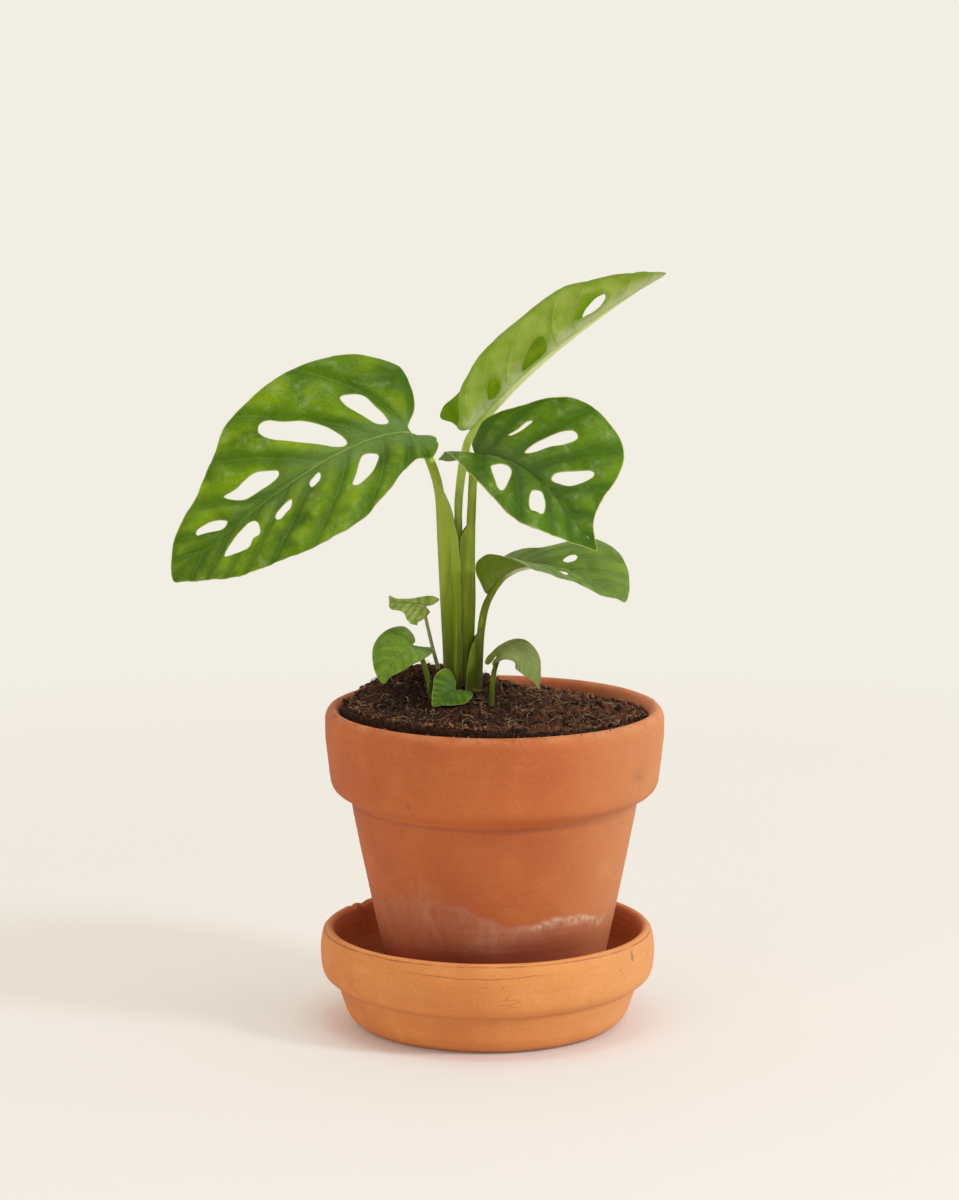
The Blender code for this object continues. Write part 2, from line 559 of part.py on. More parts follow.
# (stalk name, leaf spec, foot, points on the way up, radius at the top, at the foot, drop under the blade)
SHOOTS = (
    ("stalk_left", SHOOT_LEFT, (-20.8, -12, 0), [(-21.6, -11, 130.7), (-22.5, -9.3, 134.8),
     (-23.7, -6.6, 138.8), (-24.9, -3.8, 142), (-26.2, -1.6, 144.2)], 0.8, 1.35, 1.42),
    ("stalk_bent", SHOOT_BENT, (-18.1, 9, 0), [(-18.9, 8.5, 136), (-20.5, 7, 142.1), (-21.8, 5.5, 147.8),
     (-23.7, 1.6, 157.2)], 0.6, 0.8, 1.25),
    ("stalk_front", SHOOT_FRONT, (-11.4, -10.9, 0), [], 0.8, 0.9, 1.3),
    ("stalk_right", SHOOT_RIGHT, (1.3, -13, 0), [(1.5, -12.7, 131.4), (1.9, -12.2, 135.2),
     (2.4, -11.6, 138.9)], 0.9, 1.1, 1.45),
)


# The short stem that the stalks spring from, hidden in the soil.
def crown(collection):
    bpy.ops.mesh.primitive_cylinder_add(
        vertices=24, radius=MM, depth=(STEM_FOOT_Z - STEM_HOLE_Z - 2 * GAP) * MM,
        location=(STEM_X * MM, 0, (STEM_FOOT_Z + STEM_HOLE_Z) / 2 * MM))
    obj = bpy.context.object
    obj.name = "crown"
    obj.scale = (STEM_HALF_X - 0.6, STEM_HALF_Y - 0.6, 1)
    for owner in obj.users_collection:
        owner.objects.unlink(obj)
    collection.objects.link(obj)
    obj.data.materials.append(material("crown", (0.18, 0.16, 0.07), 0.7))
    bpy.context.view_layer.objects.active = obj
    bpy.ops.object.transform_apply(location=False, rotation=False, scale=True)
    bevel = obj.modifiers.new("round", "BEVEL")
    bevel.width = 1.0 * MM
    bevel.segments = 1
    return obj


def main():
    for obj in list(bpy.data.objects):
        bpy.data.objects.remove(obj, do_unlink=True)
    plant = bpy.data.collections.new("potted_monstera")
    cutters = bpy.data.collections.new("cutters")
    bpy.context.scene.collection.children.link(plant)
    bpy.context.scene.collection.children.link(cutters)

    turned("saucer", saucer_profile(), False, 0, plant, (0.56, 0.25, 0.11), 0.85)
    turned("pot", pot_profile(), True, POT_X, plant, (0.50, 0.19, 0.08), 0.85)
    soil = soil_body(plant)
    drill(soil, "stem_hole", STEM_X, 0, STEM_HALF_X, STEM_HALF_Y, STEM_HOLE_Z, 145, 32, cutters)
    crown(plant)

    stalk("petiole_left", petiole_left(), 10, 18, plant, STEM_GREEN)
    stalk("petiole_top", petiole_top(), 10, 10, plant, LIGHT_GREEN)
    stalk("petiole_right", petiole_right(), 10, 18, plant, STEM_GREEN)
    stalk("petiole_low", petiole_low(), 8, 18, plant, STEM_GREEN)
    leaf("leaf_left", LEAF_LEFT, plant, GREEN)
    leaf("leaf_top", LEAF_TOP, plant, LIGHT_GREEN)
    leaf("leaf_right", LEAF_RIGHT, plant, GREEN)
    leaf("leaf_low", LEAF_LOW, plant, GREEN)

    for name, spec, foot, bends, top_radius, foot_radius, drop in SHOOTS:
        blade = spec["surface"]
        stations = shoot_stalk(blade, foot, bends, top_radius, foot_radius, drop)
        ground = stations[0][2] + STALK_DEPTH - GAP
        stalk(name, stations, 5, 8, plant, STEM_GREEN)
        leaf(name.replace("stalk", "shoot"), spec, plant, GREEN)
        drill(soil, name + "_hole", foot[0], foot[1], foot_radius + GAP, foot_radius + GAP,
              ground - STALK_DEPTH, ground + 8, 16, cutters)


main()
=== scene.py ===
import itertools
import math

import bmesh
import bpy
import numpy as np
from mathutils.geometry import delaunay_2d_cdt
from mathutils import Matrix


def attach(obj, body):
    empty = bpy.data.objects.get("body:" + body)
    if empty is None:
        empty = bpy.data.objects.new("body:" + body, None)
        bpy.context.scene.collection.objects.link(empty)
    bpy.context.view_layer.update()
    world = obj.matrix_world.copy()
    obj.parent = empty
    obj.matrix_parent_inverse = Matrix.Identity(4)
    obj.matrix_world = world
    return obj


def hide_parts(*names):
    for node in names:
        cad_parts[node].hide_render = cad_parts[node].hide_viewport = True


# Young monstera adansonii in a terracotta pot on its saucer.
# Shapes are worked out in millimetres and put into the meshes in metres.
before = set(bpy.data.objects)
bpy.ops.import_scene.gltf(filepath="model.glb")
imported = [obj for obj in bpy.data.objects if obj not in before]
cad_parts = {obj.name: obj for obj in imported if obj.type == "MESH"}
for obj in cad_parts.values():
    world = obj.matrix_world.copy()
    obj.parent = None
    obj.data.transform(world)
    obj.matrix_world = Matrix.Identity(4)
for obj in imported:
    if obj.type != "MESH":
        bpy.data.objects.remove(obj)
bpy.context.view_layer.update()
mm = 0.001
flatUnit = 0.01  # UV for a millimetre of leaf, so a UV unit is 10 cm
sharpFrom = math.radians(50)
print("frame loaded:", len(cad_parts), "nodes")


# Numbers, noise and even curves

# A colour as a screen shows it, 0 to 255, turned into the linear light that shaders take.
def paint(red, green, blue):
    shown = np.array([red, green, blue]) / 255
    light = np.where(shown <= 0.04045, shown / 12.92, ((shown + 0.055) / 1.055) ** 2.4)
    return tuple(float(v) for v in light)


# A dictionary whose three-part entries are painted and whose numbers stay.
def tones(**table):
    return {key: paint(*v) if isinstance(v, tuple) else v for key, v in table.items()}


# 0 below low, 1 above high, an S-curve between: 3t² - 2t³.
def ease(low, high, value):
    t = np.clip((value - low) / (high - low), 0, 1)
    return t * t * (3 - 2 * t)


# Eased up from low to full, and down again from fade to end.
def window(value, low, full, fade, end):
    return ease(low, full, value) * ease(end, fade, value)


# A bell: exp(-((value - middle) / width)²).
def bell(value, middle, width):
    return np.exp(-((value - middle) / width) ** 2)


# Evenly spaced angles once round.
def circle(count):
    return np.arange(count) * 2 * math.pi / count


# A place by its radius, turn and height about an upright axis: (axis + r cos, r sin, height).
def spot(radius, turn, height, axis=0.0):
    parts = np.broadcast_arrays(axis + radius * np.cos(turn), radius * np.sin(turn), height)
    return np.stack(parts, axis=-1)


# Each vector over its own length.
def unit(v):
    return v / np.linalg.norm(v, axis=-1, keepdims=True)


# The distance run along a line of points.
def runLength(points):
    return np.concatenate([[0], np.cumsum(np.linalg.norm(np.diff(points, axis=0), axis=1))])


# A random number from 0 to 1 for each whole-number cell, its place mixed by large primes.
def cellNumber(cells, seed):
    primes = np.array([73856093, 19349663, 83492791])[: cells.shape[1]]
    mixed = (cells * primes).sum(axis=1) + seed * 1013904223
    mixed = (mixed ^ (mixed >> 13)) * 1274126177
    return ((mixed ^ (mixed >> 16)) & 0xFFFF) / 65535.0


# Value noise, -1 to 1: random heights on whole-number corners, blended by 6t⁵ - 15t⁴ + 10t³.
def softNoise(points, seed):
    cell = np.floor(points).astype(np.int64)
    part = points - cell
    blend = part**3 * (part * (part * 6 - 15) + 10)
    total = np.zeros(len(points))
    for corner in itertools.product((0, 1), repeat=points.shape[1]):
        weight = np.prod(np.where(np.array(corner), blend, 1 - blend), axis=1)
        total += weight * cellNumber(cell + np.array(corner), seed)
    return total * 2 - 1


# Domes of one jittered point a cell: how near the nearest one is, 1 at its middle, 0 a cell away,
# and that one's own random number.
def domes(points, seed):
    cell = np.floor(points).astype(np.int64)
    nearest = np.full(len(points), 9.0)
    own = np.zeros(len(points))
    for step in itertools.product((-1, 0, 1), repeat=points.shape[1]):
        there = cell + np.array(step)
        jitter = np.column_stack([cellNumber(there, seed + k) for k in range(points.shape[1])])
        away = np.linalg.norm(there + jitter - points, axis=1)
        closer = away < nearest
        nearest = np.where(closer, away, nearest)
        own = np.where(closer, cellNumber(there, seed + 7), own)
    return np.clip(1 - nearest, 0, 1), own


# Rows along a line (their first columns are its place) evened out to one about every step, each
# column blurred along the run by a bell; ends stay put, a closed line is blurred across its join.
def evenRows(rows, step, blur, axes=3, closed=False):
    rows = np.asarray(rows, float)
    if closed:
        rows = np.vstack([rows, rows[:1]])
    run = runLength(rows[:, :axes])
    fine = min(step, blur) / 3
    places = np.linspace(0, run[-1], max(8, int(run[-1] / fine)) + 1)
    line = np.column_stack([np.interp(places, run, column) for column in rows.T])
    reach = int(3 * blur / fine)
    weights = np.exp(-0.5 * (np.arange(-reach, reach + 1) * fine / blur) ** 2)
    weights /= weights.sum()
    if closed:
        line = np.vstack([line[-reach - 1:-1], line, line[1:reach + 1]])
    else:
        line = np.pad(line, ((reach, reach), (0, 0)), "reflect", reflect_type="odd")
    line = np.column_stack([np.convolve(column, weights, "valid") for column in line.T])
    count = max(4, round(run[-1] / step)) + 1
    keep = np.linspace(0, len(line) - 1, count).round().astype(int)
    return line[keep[:-1]] if closed else line[keep]


# A closed Catmull-Rom curve through the corners, a point about every step.
def smoothLoop(corners, step):
    p = np.asarray(corners, float)
    line = []
    for i in range(len(p)):
        a, b, c, d = p[i - 1], p[i], p[(i + 1) % len(p)], p[(i + 2) % len(p)]
        t = np.arange(max(1, round(float(np.linalg.norm(c - b)) / step)))[:, None]
        t = t / len(t)
        line.append(0.5 * (2 * b + (c - a) * t + (2 * a - 5 * b + 4 * c - d) * t**2
                           + (3 * b - a - 3 * c + d) * t**3))
    return np.vstack(line)


# Meshes

# Quads between the rows of a grid whose rows close on their start; the rows themselves may too.
def gridFaces(rows, columns, closed=False):
    i = np.arange(rows if closed else rows - 1)[:, None] * columns
    j = np.arange(columns)[None, :]
    there = (i + columns) % (rows * columns)
    beside = (j + 1) % columns
    return np.stack([i + j, there + j, there + beside, i + beside], axis=-1).reshape(-1, 4)


# The same, and triangles that close the first and last row to the next two points.
def cappedFaces(rows, columns):
    j = np.arange(columns)
    beside = (j + 1) % columns
    last = (rows - 1) * columns
    point = np.full(columns, rows * columns)
    return [gridFaces(rows, columns), np.stack([point, j, beside], axis=-1),
            np.stack([last + beside, last + j, point + 1], axis=-1)]


# An object that holds the data, put into the scene.
def newObject(name, data):
    made = bpy.data.objects.new(name, data)
    bpy.context.scene.collection.objects.link(made)
    return made


# A mesh from points and a list of face arrays, all in one finish.
def newMesh(name, points, faces, finish):
    mesh = bpy.data.meshes.new(name)
    mesh.from_pydata(points, [], [row for part in faces for row in part.tolist()])
    mesh.materials.append(finish)
    return mesh


# A piece of the part, with a number per point under each name in values, and flat as its UV.
def addPiece(name, points, faces, finish, nodes=(), values=None, flat=None, turnOut=False):
    mesh = newMesh(name, np.asarray(points) * mm, faces, finish)
    for key, numbers in (values or {}).items():
        layer = mesh.attributes.new(key, "FLOAT", "POINT")
        layer.data.foreach_set("value", np.asarray(numbers, np.float32))
    if flat is not None:
        corners = np.zeros(len(mesh.loops), np.int32)
        mesh.loops.foreach_get("vertex_index", corners)
        uv = (flat[corners] * flatUnit).astype(np.float32)
        mesh.uv_layers.new(name="flat").data.foreach_set("uv", uv.ravel())
    if turnOut:
        work = bmesh.new()
        work.from_mesh(mesh)
        bmesh.ops.recalc_face_normals(work, faces=work.faces)
        work.to_mesh(mesh)
        work.free()
    mesh.shade_smooth()
    mesh.set_sharp_from_angle(angle=sharpFrom)
    piece = newObject(name, mesh)
    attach(piece, "root")
    if nodes:
        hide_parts(*nodes)


# Shader sums: a socket that takes + - *, each one a Math node.
class Wire:
    def __init__(self, tree, socket=None):
        self.tree = tree
        self.socket = socket

    # Any node: its type, its settings, then the values or links of its sockets.
    def node(self, kind, settings=None, sockets=None, out=0):
        made = self.tree.nodes.new("ShaderNode" + kind)
        for name, value in (settings or {}).items():
            setattr(made, name, value)
        for name, value in (sockets or {}).items():
            slot = made.inputs[name]
            if isinstance(value, Wire):
                self.tree.links.new(value.socket, slot)
            else:
                slot.default_value = (*value, 1) if slot.type == "RGBA" else value
        return Wire(self.tree, made.outputs[out] if made.outputs else None)

    def math(self, kind, *values):
        return self.node("Math", {"operation": kind}, dict(enumerate(values)))

    def __add__(self, other):
        return self.math("ADD", self, other)

    def __sub__(self, other):
        return self.math("SUBTRACT", self, other)

    def __rsub__(self, other):
        return self.math("SUBTRACT", other, self)

    def __mul__(self, other):
        return self.math("MULTIPLY", self, other)

    __radd__ = __add__
    __rmul__ = __mul__

    # 0 to 1 (or other ends) as the value goes from low to high, along an S-curve.
    def ramp(self, low, high, start=0.0, end=1.0):
        return self.node("MapRange", {"interpolation_type": "SMOOTHSTEP"},
                         {0: self, 1: low, 2: high, 3: start, 4: end})

    def size(self):
        return self.math("ABSOLUTE", self)

    # How far the value is from the nearest whole number.
    def fromWhole(self):
        return (self.math("FRACT", self + 0.5) - 0.5).size()

    def mixed(self, share, low, high):
        return self.node("Mix", {"data_type": "RGBA"}, {0: share, 6: low, 7: high}, 2)

    # This colour under others from a table, each laid on by its own share.
    def under(self, table, *coats):
        tint = self
        for coat, share in coats:
            tint = self.mixed(share, tint, table[coat] if isinstance(coat, str) else coat)
        return tint

    def stretched(self, x, y, z):
        return self.node("VectorMath", {"operation": "MULTIPLY"}, {0: self, 1: (x, y, z)})

    def noise(self, scale, detail=3.0, rough=0.55, bend=0.0):
        return self.node("TexNoise", {}, {"Vector": self, "Scale": scale, "Detail": detail,
                                          "Roughness": rough, "Distortion": bend})

    def cells(self, scale, feature="F1"):
        return self.node("TexVoronoi", {"feature": feature}, {"Vector": self, "Scale": scale})

    # The piece's own numbers by name.
    def own(self, *names):
        found = [self.node("Attribute", {"attribute_name": name}, out=2) for name in names]
        return found if len(found) > 1 else found[0]

    def place(self):
        return self.node("TexCoord", out=3)

    # A plain shader; bump is the height with its strength and its depth in metres.
    def skin(self, tint, rough, bump=None, shine=0.5):
        sockets = {"Base Color": tint, "Roughness": rough, "Specular IOR Level": shine}
        if bump:
            sockets["Normal"] = self.node("Bump", {}, dict(zip(("Height", "Strength", "Distance"), bump)))
        return self.node("BsdfPrincipled", {}, sockets)

    # The same with a share of the light let through in a colour.
    def lit(self, share, tint):
        through = self.node("BsdfTranslucent", {}, {"Color": tint})
        return self.node("MixShader", {}, {0: share, 1: self, 2: through})

    def ends(self, kind="Material"):
        self.node("Output" + kind, {}, {"Surface": self})


# A new material and the wire that its shader starts from.
def newFinish(name):
    made = bpy.data.materials.new(name)
    made.use_nodes = True
    made.node_tree.nodes.clear()
    return made, Wire(made.node_tree)


# Fired clay

clay = tones(
    potTone=(198, 104, 47), potLight=(208, 120, 60), potDark=(184, 90, 40),
    saucerTone=(226, 145, 76), saucerLight=(236, 160, 92), saucerDark=(212, 127, 62),
    inside=(186, 92, 54), within=(206, 118, 70), damp=(122, 52, 32), foot=(150, 62, 34),
    bloom=(206, 152, 126), crust=(232, 192, 166), dirt=(84, 48, 30), pale=(226, 164, 108),
    smudge=(120, 78, 48))


# Softly mottled clay with grain, turning lines, pores and specks, painted shade in its corners and the lit
# side painted paler; marks adds the piece's own stains.
def clayFinish(name, kind, marks):
    made, start = newFinish(name)
    at = start.place()
    light, dark = kind + "Light", kind + "Dark"
    broad = at.noise(22, 3, 0.5)
    cloud = at.noise(85, 4, 0.6, 0.4)
    grain = at.noise(900, 3, 0.7)
    lines = at.stretched(0.1, 0.1, 1).noise(620, 3, 0.6)
    specks = at.cells(560).ramp(0.16, 0.06) * at.noise(60, 2).ramp(0.52, 0.62)
    bright = at.stretched(1.3, 0.9, 1.1).cells(460).ramp(0.11, 0.05) * at.noise(75, 2).ramp(0.55, 0.66)
    tint = start.mixed(broad.ramp(0.3, 0.7), clay[dark], clay[kind + "Tone"]).under(
        clay,
        (light, cloud.ramp(0.48, 0.78) * 0.4),
        (dark, cloud.ramp(0.45, 0.2) * 0.4),
        (dark, lines.ramp(0.54, 0.74) * 0.4),
        (light, grain.ramp(0.52, 0.7) * 0.32),
        (dark, grain.ramp(0.48, 0.3) * 0.36),
        # painted shade in the corners, by the piece's corner numbers, in the damp clay colour
        ("damp", start.own("corner") * 0.4),
        ("dirt", specks * 0.5),
        ("pale", bright * 0.35),
        # the lit side painted paler: painted light
        ("pale", start.own("litSide") * 0.34))
    tint, relief = marks(start, at, tint)
    height = grain * 0.3 + lines * 0.3 + cloud * 0.3 - specks * 0.6 + relief
    start.skin(tint, 0.82 - grain * 0.14, (height, 0.5, 0.0004)).ends()
    return made


# The pot: a wavy white salt line with damp red clay under it, a darker inside, soil dust at the
# rim, a painted highlight along the rim's top, a scratch and three smudges.
def potMarks(start, at, tint):
    outer, scratch = start.own("outside", "scratch")
    bite = (at.noise(300, 3, 0.6) - 0.5) * 2.2 + (at.noise(90) - 0.5) * 3.5
    top = start.own("overSaltTop") + bite
    base = start.own("overSaltBase") + bite
    streak = at.stretched(1, 1, 0.35).noise(260, 3, 0.6)
    under = (top * start.own("saltSharp")).ramp(2, -2)
    salt = under * base.ramp(-7, 3) * streak.ramp(0.25, 0.75, 0.4, 1)
    crust = top.ramp(-4, -0.6) * top.ramp(1.5, -0.6) * start.own("saltStrength")
    crust = crust * at.noise(420).ramp(0.3, 0.62)
    haze = start.own("saltHaze") * at.stretched(1, 1, 0.4).noise(210, 4, 0.65).ramp(0.4, 0.7)
    # the damp clay at the foot is real; painting it weaker on the lit side is painted light
    dampOffLitSide = outer * (1.0 - start.own("litSide") * 0.85)
    tint = tint.under(
        clay,
        ("foot", base.ramp(5, -4) * dampOffLitSide * 0.8),
        ("damp", base.ramp(-1, -11) * dampOffLitSide * 0.4),
        ("foot", under * outer * 0.25),
        ("bloom", salt * outer * start.own("saltBody") * 0.42),
        ("crust", crust * outer * 0.7),
        ("bloom", haze * outer * 0.35),
        ("dirt", start.own("rimDust") * at.noise(700, 2).ramp(0.57, 0.66) * 0.6),
        # a painted highlight along the rim's top
        ("pale", start.own("rimHighlight") * at.noise(150).ramp(0.35, 0.65) * 0.25),
        ("damp", scratch * 0.45),
        ("smudge", start.own("smudge") * at.noise(180).ramp(0.35, 0.6) * 0.5),
        ("inside", (1.0 - outer) * 0.45))
    return tint, crust * 0.4 - scratch * 0.9


# The saucer: hairline cracks under the lip, a chip with a dark stain, a darker inside.
def saucerMarks(start, at, tint):
    outer = start.own("outside")
    wander = at.stretched(1, 1, 3).noise(160, 2) - 0.5
    hair = (start.own("crackRise") + wander * 1.2).size().ramp(0.2, 0.05) * start.own("crack")
    lip = (start.own("lipRise") + wander * 0.5).size().ramp(0.32, 0.08) * outer
    lip = lip * at.noise(120, 2).ramp(0.3, 0.6, 0.35, 1)
    crazing = at.stretched(0.25, 0.25, 1.2).cells(420, "DISTANCE_TO_EDGE").ramp(0.045, 0.01)
    fine = crazing * at.noise(55, 2).ramp(0.55, 0.62) * start.own("bandFace")
    tint = tint.under(
        clay,
        ("dirt", hair * 0.55),
        ("damp", lip * 0.5),
        ("damp", fine * 0.4),
        ("dirt", start.own("stain") * at.noise(260).ramp(0.35, 0.6) * 0.7),
        ("within", (1.0 - outer) * 0.6),
        ("damp", start.own("floorDamp") * (1.0 - outer) * 0.5))
    return tint, hair * -1.2 - fine * 0.5 - lip * 1.2


# Degrees from the front towards +X, -180 to 180, for a turn from +X.
def fromFront(turn):
    return (np.degrees(turn) + 270) % 360 - 180


# A profile of radius and height, carried once round from +X: x = axis + r cos(turn),
# y = r sin(turn), pushed out along its own normal by relief(slow noise, turn, height, radius).
# Gives its points, their angle from the front towards +X in degrees, their height, and 0 on the
# inside to 1 outside.
def turnedClay(shape, profile, relief, closed=False):
    tangent = np.roll(profile, -1, axis=0) - np.roll(profile, 1, axis=0)
    if not closed:
        tangent[0] = profile[1] - profile[0]
        tangent[-1] = profile[-1] - profile[-2]
    tangent = unit(tangent)
    turn = circle(shape["sectors"])[None, :]
    radius, height = profile[:, :1], profile[:, 1:]
    seed, tall, deep = shape["slow"]
    way = spot(3, turn, height / tall).reshape(-1, 3)
    slow = softNoise(way, seed) + softNoise(way * 2, seed + 1) / 2
    push = relief(slow.reshape(len(profile), -1) * deep, turn, height, radius)
    points = spot(radius - tangent[:, 1:] * push, turn, height + tangent[:, :1] * push, shape["axis"])
    angle = fromFront(turn) + 0 * push
    topRow = int(profile[:, 1].argmax())
    side = ease(topRow - 3, topRow + 1, np.arange(len(profile)))
    return points.reshape(-1, 3), angle.ravel(), points[..., 2].ravel(), np.repeat(side, shape["sectors"])


# The side to the right, where the key light falls, is painted paler: painted light.
def litSide(angle):
    return window(angle, 12, 70, 110, 165)


potShape = {
    "axis": 2.7,
    "sectors": 280,
    "slow": (11, 26, 0.12),  # the clay's slow waves: seed, height and depth in mm
    "ripple": (0.05, 1.9, 0.8, 0.37),  # turning marks: depth in mm, beat, sway and slow beat
    "scratch": (-29.5, 91.2, 6.8),  # angle and height of its lower end, and how tall it is
    # smudges: angle and width in degrees, height and size in mm, strength, slant in mm a degree
    "smudges": [(58.2, 3.2, 103.6, 2.6, 1, 0), (32.3, 1.3, 114.4, 1, 0.8, 0),
                (-23.7, 2.6, 120, 0.8, 0.9, 0.35)],
    "stepZ": 86.6,  # the shaded corner under the band
    # up the inside, over the rim, down the band, the step under it, the wall and the bottom
    "profile": [(33, 12), (36.5, 14.5), (49, 81), (50.6, 85), (56.2, 92), (57.3, 97), (58.9, 119.5),
                (59.6, 121.8), (61.4, 123.2), (63.0, 123.1), (64.4, 121.6), (65.0, 119.4),
                (65, 118), (64.9, 112), (64.1, 105), (63.3, 98), (62.8, 94.7),
                (61.9, 92.5), (60.2, 90.9), (57.5, 89.5), (55.5, 88.2), (54.9, 86.6),
                (54.6, 84.6), (54.2, 82.0), (51.7, 69.3), (47.8, 50.3), (42.8, 26), (39.4, 8.6), (38.8, 6.35),
                (6, 6.35), (6, 12)],
    # angle from the front towards +X, degrees, and heights of the salt's upper and lower line
    "saltTop": [(-180, 47), (-130, 52), (-95, 46), (-75, 48.8), (-46, 56.3), (-28, 57.3), (-13, 54.7),
                (-5, 50.6), (6, 48.5), (20, 48.4), (36, 49.8), (46, 49.2), (58, 45.5), (90, 51), (130, 45),
                (180, 47)],
    "saltBase": [(-180, 38), (-70, 33.6), (-17, 39), (5, 41.5), (18, 44.3), (33, 45), (59, 43.3),
                 (100, 40), (180, 38)],
}


# The pot: its closed profile with turning marks of depth sin(beat h + sway sin 2t) sin(slow beat h).
def pot():
    shape = potShape
    profile = evenRows(shape["profile"], 0.9, 0.45, axes=2, closed=True)
    deep, beat, sway, slowBeat = shape["ripple"]

    def relief(slow, turn, height, radius):
        return slow + deep * np.sin(height * beat + sway * np.sin(turn * 2)) * np.sin(height * slowBeat)

    points, angle, z, side = turnedClay(shape, profile, relief, True)
    radius = np.hypot(points[:, 0] - shape["axis"], points[:, 1])
    outside = side * (z > 6.6)
    scratchAt, scratchZ, scratchTall = shape["scratch"]
    run = (z - scratchZ) / scratchTall
    smudge = sum(strength * bell(angle, at, wide) * bell(z + (angle - at) * slant, high, tall)
                 for at, wide, high, tall, strength, slant in shape["smudges"])
    values = dict(
        outside=outside, litSide=litSide(angle), smudge=outside * smudge,
        # corner is painted shade: in the corner under the band, just below it, and on the wall below it on
        # the side away from the light
        corner=outside * (0.8 * bell(z, shape["stepZ"], 0.9) + 0.2 * bell(z, 84, 5) * (z < 88)
                          + 0.2 * ease(88, 82, z) * (1 - litSide(angle))),
        overSaltTop=z - np.interp(angle, *zip(*shape["saltTop"])),
        overSaltBase=z - np.interp(angle, *zip(*shape["saltBase"])),
        saltStrength=0.06 + 0.85 * window(angle, 8, 26, 56, 66) + 0.06 * window(angle, -60, -35, -20, 0),
        saltSharp=0.38 + 0.62 * ease(-16, 2, angle),
        saltBody=0.5 + 0.6 * window(angle, -26, -4, 14, 30) + 0.9 * bell(angle, 33, 2.2) * bell(z, 43.6, 1.5),
        saltHaze=bell(angle, -31, 5) * window(z, 40, 50, 58, 68)
        + 0.4 * bell(angle, -50, 22) * window(z, 34, 42, 50, 58),
        rimHighlight=bell(z, 122.6, 1.6),
        rimDust=ease(119.5, 122.8, z) * (radius > 57.5) * 0.6,
        scratch=outside * bell(angle, scratchAt - 1.9 * run, 0.35) * window(run, -0.05, 0.2, 0.8, 1.05))
    addPiece("potShell", points, [gridFaces(len(profile), shape["sectors"], True)],
             clayFinish("clayPot", "pot", potMarks), ["pot"], values)


saucerShape = {
    "axis": 0.0,
    "sectors": 320,
    "slow": (31, 20, 0.13),  # slow waves, as the pot's
    "floorZ": 6,
    "ripple": (0.04, 2.3),  # turning marks: depth in mm and beat
    "chipAt": -126.0,  # degrees from the front
    "groove": (36.5, 0.16),  # the line under the lip: height and depth
    "crackZ": 33.2,  # the long crack's height at its ends
    # out over the inside, up its wall, over the lip, down the outside and in under the foot
    "profile": [(1.2, 6), (47, 6), (50.5, 7.6), (53, 12), (56.8, 17), (58.9, 24), (59.2, 34),
                (59.5, 36.4), (60.6, 37.5), (61.9, 37.5), (63.1, 36.4), (63.5, 35.2),
                (63.9, 34), (64.5, 29.5), (64.3, 24), (63.8, 20.9), (62.7, 18.8), (60.6, 17.2), (58.7, 16.2),
                (57.9, 15.2), (57.6, 13.8), (56.3, 10.2), (54.6, 5), (53.0, 2.4), (50.3, 0.4), (49.4, 0),
                (1.2, 0)],
}


# The saucer: its profile with turning marks, depth sin(beat h + sin 3t), a chip of two bells in the
# lip and a groove under it.
def saucer():
    shape = saucerShape
    profile = evenRows(shape["profile"], 0.75, 0.4, axes=2)
    chipAt, (grooveZ, grooveDeep), (deep, beat) = shape["chipAt"], shape["groove"], shape["ripple"]

    def relief(slow, turn, height, radius):
        rings = deep * np.sin(height * beat + np.sin(turn * 3))
        angle = fromFront(turn)
        chip = bell(angle, chipAt, 2.2) + 0.7 * bell(angle, chipAt + 6.5, 1.3)
        chip = chip * ease(34.5, 37.2, height) * -0.9
        groove = -grooveDeep * bell(height, grooveZ, 0.3) * (radius > 61.5)
        return (slow + rings) * ease(5, 14, radius) * ease(0.2, 2.5, height) + chip + groove

    points, angle, z, side = turnedClay(shape, profile, relief)
    values = dict(
        outside=side, litSide=litSide(angle), lipRise=z - grooveZ, floorDamp=ease(20, 7, z),
        # corner is painted shade: a contact shadow at the bottom of the foot and shade in the corner under
        # the band
        corner=side * (1.4 * bell(z, 0, 0.9) + 0.45 * bell(z, 15.6, 0.7) + 0.2 * bell(z, 13, 3) * (z < 16.5)),
        # the long crack follows the lip at the front, a short upright one stands at the right
        crack=side * window(angle, -34, -18, 8, 26) * (z > 29),
        crackRise=z - shape["crackZ"] + 1.1 * bell(angle, -2, 16),
        stain=bell(angle, chipAt + 2, 5.5) * ease(20, 33, z)
        + 0.6 * bell(angle, -84, 9) * bell(z, 36.3, 0.7) * side
        + 1.2 * bell(angle, 58.8, 0.6) * window(z, 31, 32, 35, 36) * side,
        bandFace=side * window(z, 18, 22, 30, 33))
    points = np.vstack([points, [0, 0, shape["floorZ"]], [0, 0, 0]])
    values = {key: np.append(v, [v[0], v[-1]]) for key, v in values.items()}
    addPiece("saucerShell", points, cappedFaces(len(profile), shape["sectors"]),
             clayFinish("claySaucer", "saucer", saucerMarks), ["saucer"], values)


# Soil

soilLook = tones(
    dark=(18, 9, 6), tone=(68, 39, 25), red=(116, 66, 41), pale=(172, 116, 78),
    fibreDark=(104, 58, 32), fibrePale=(236, 188, 132))

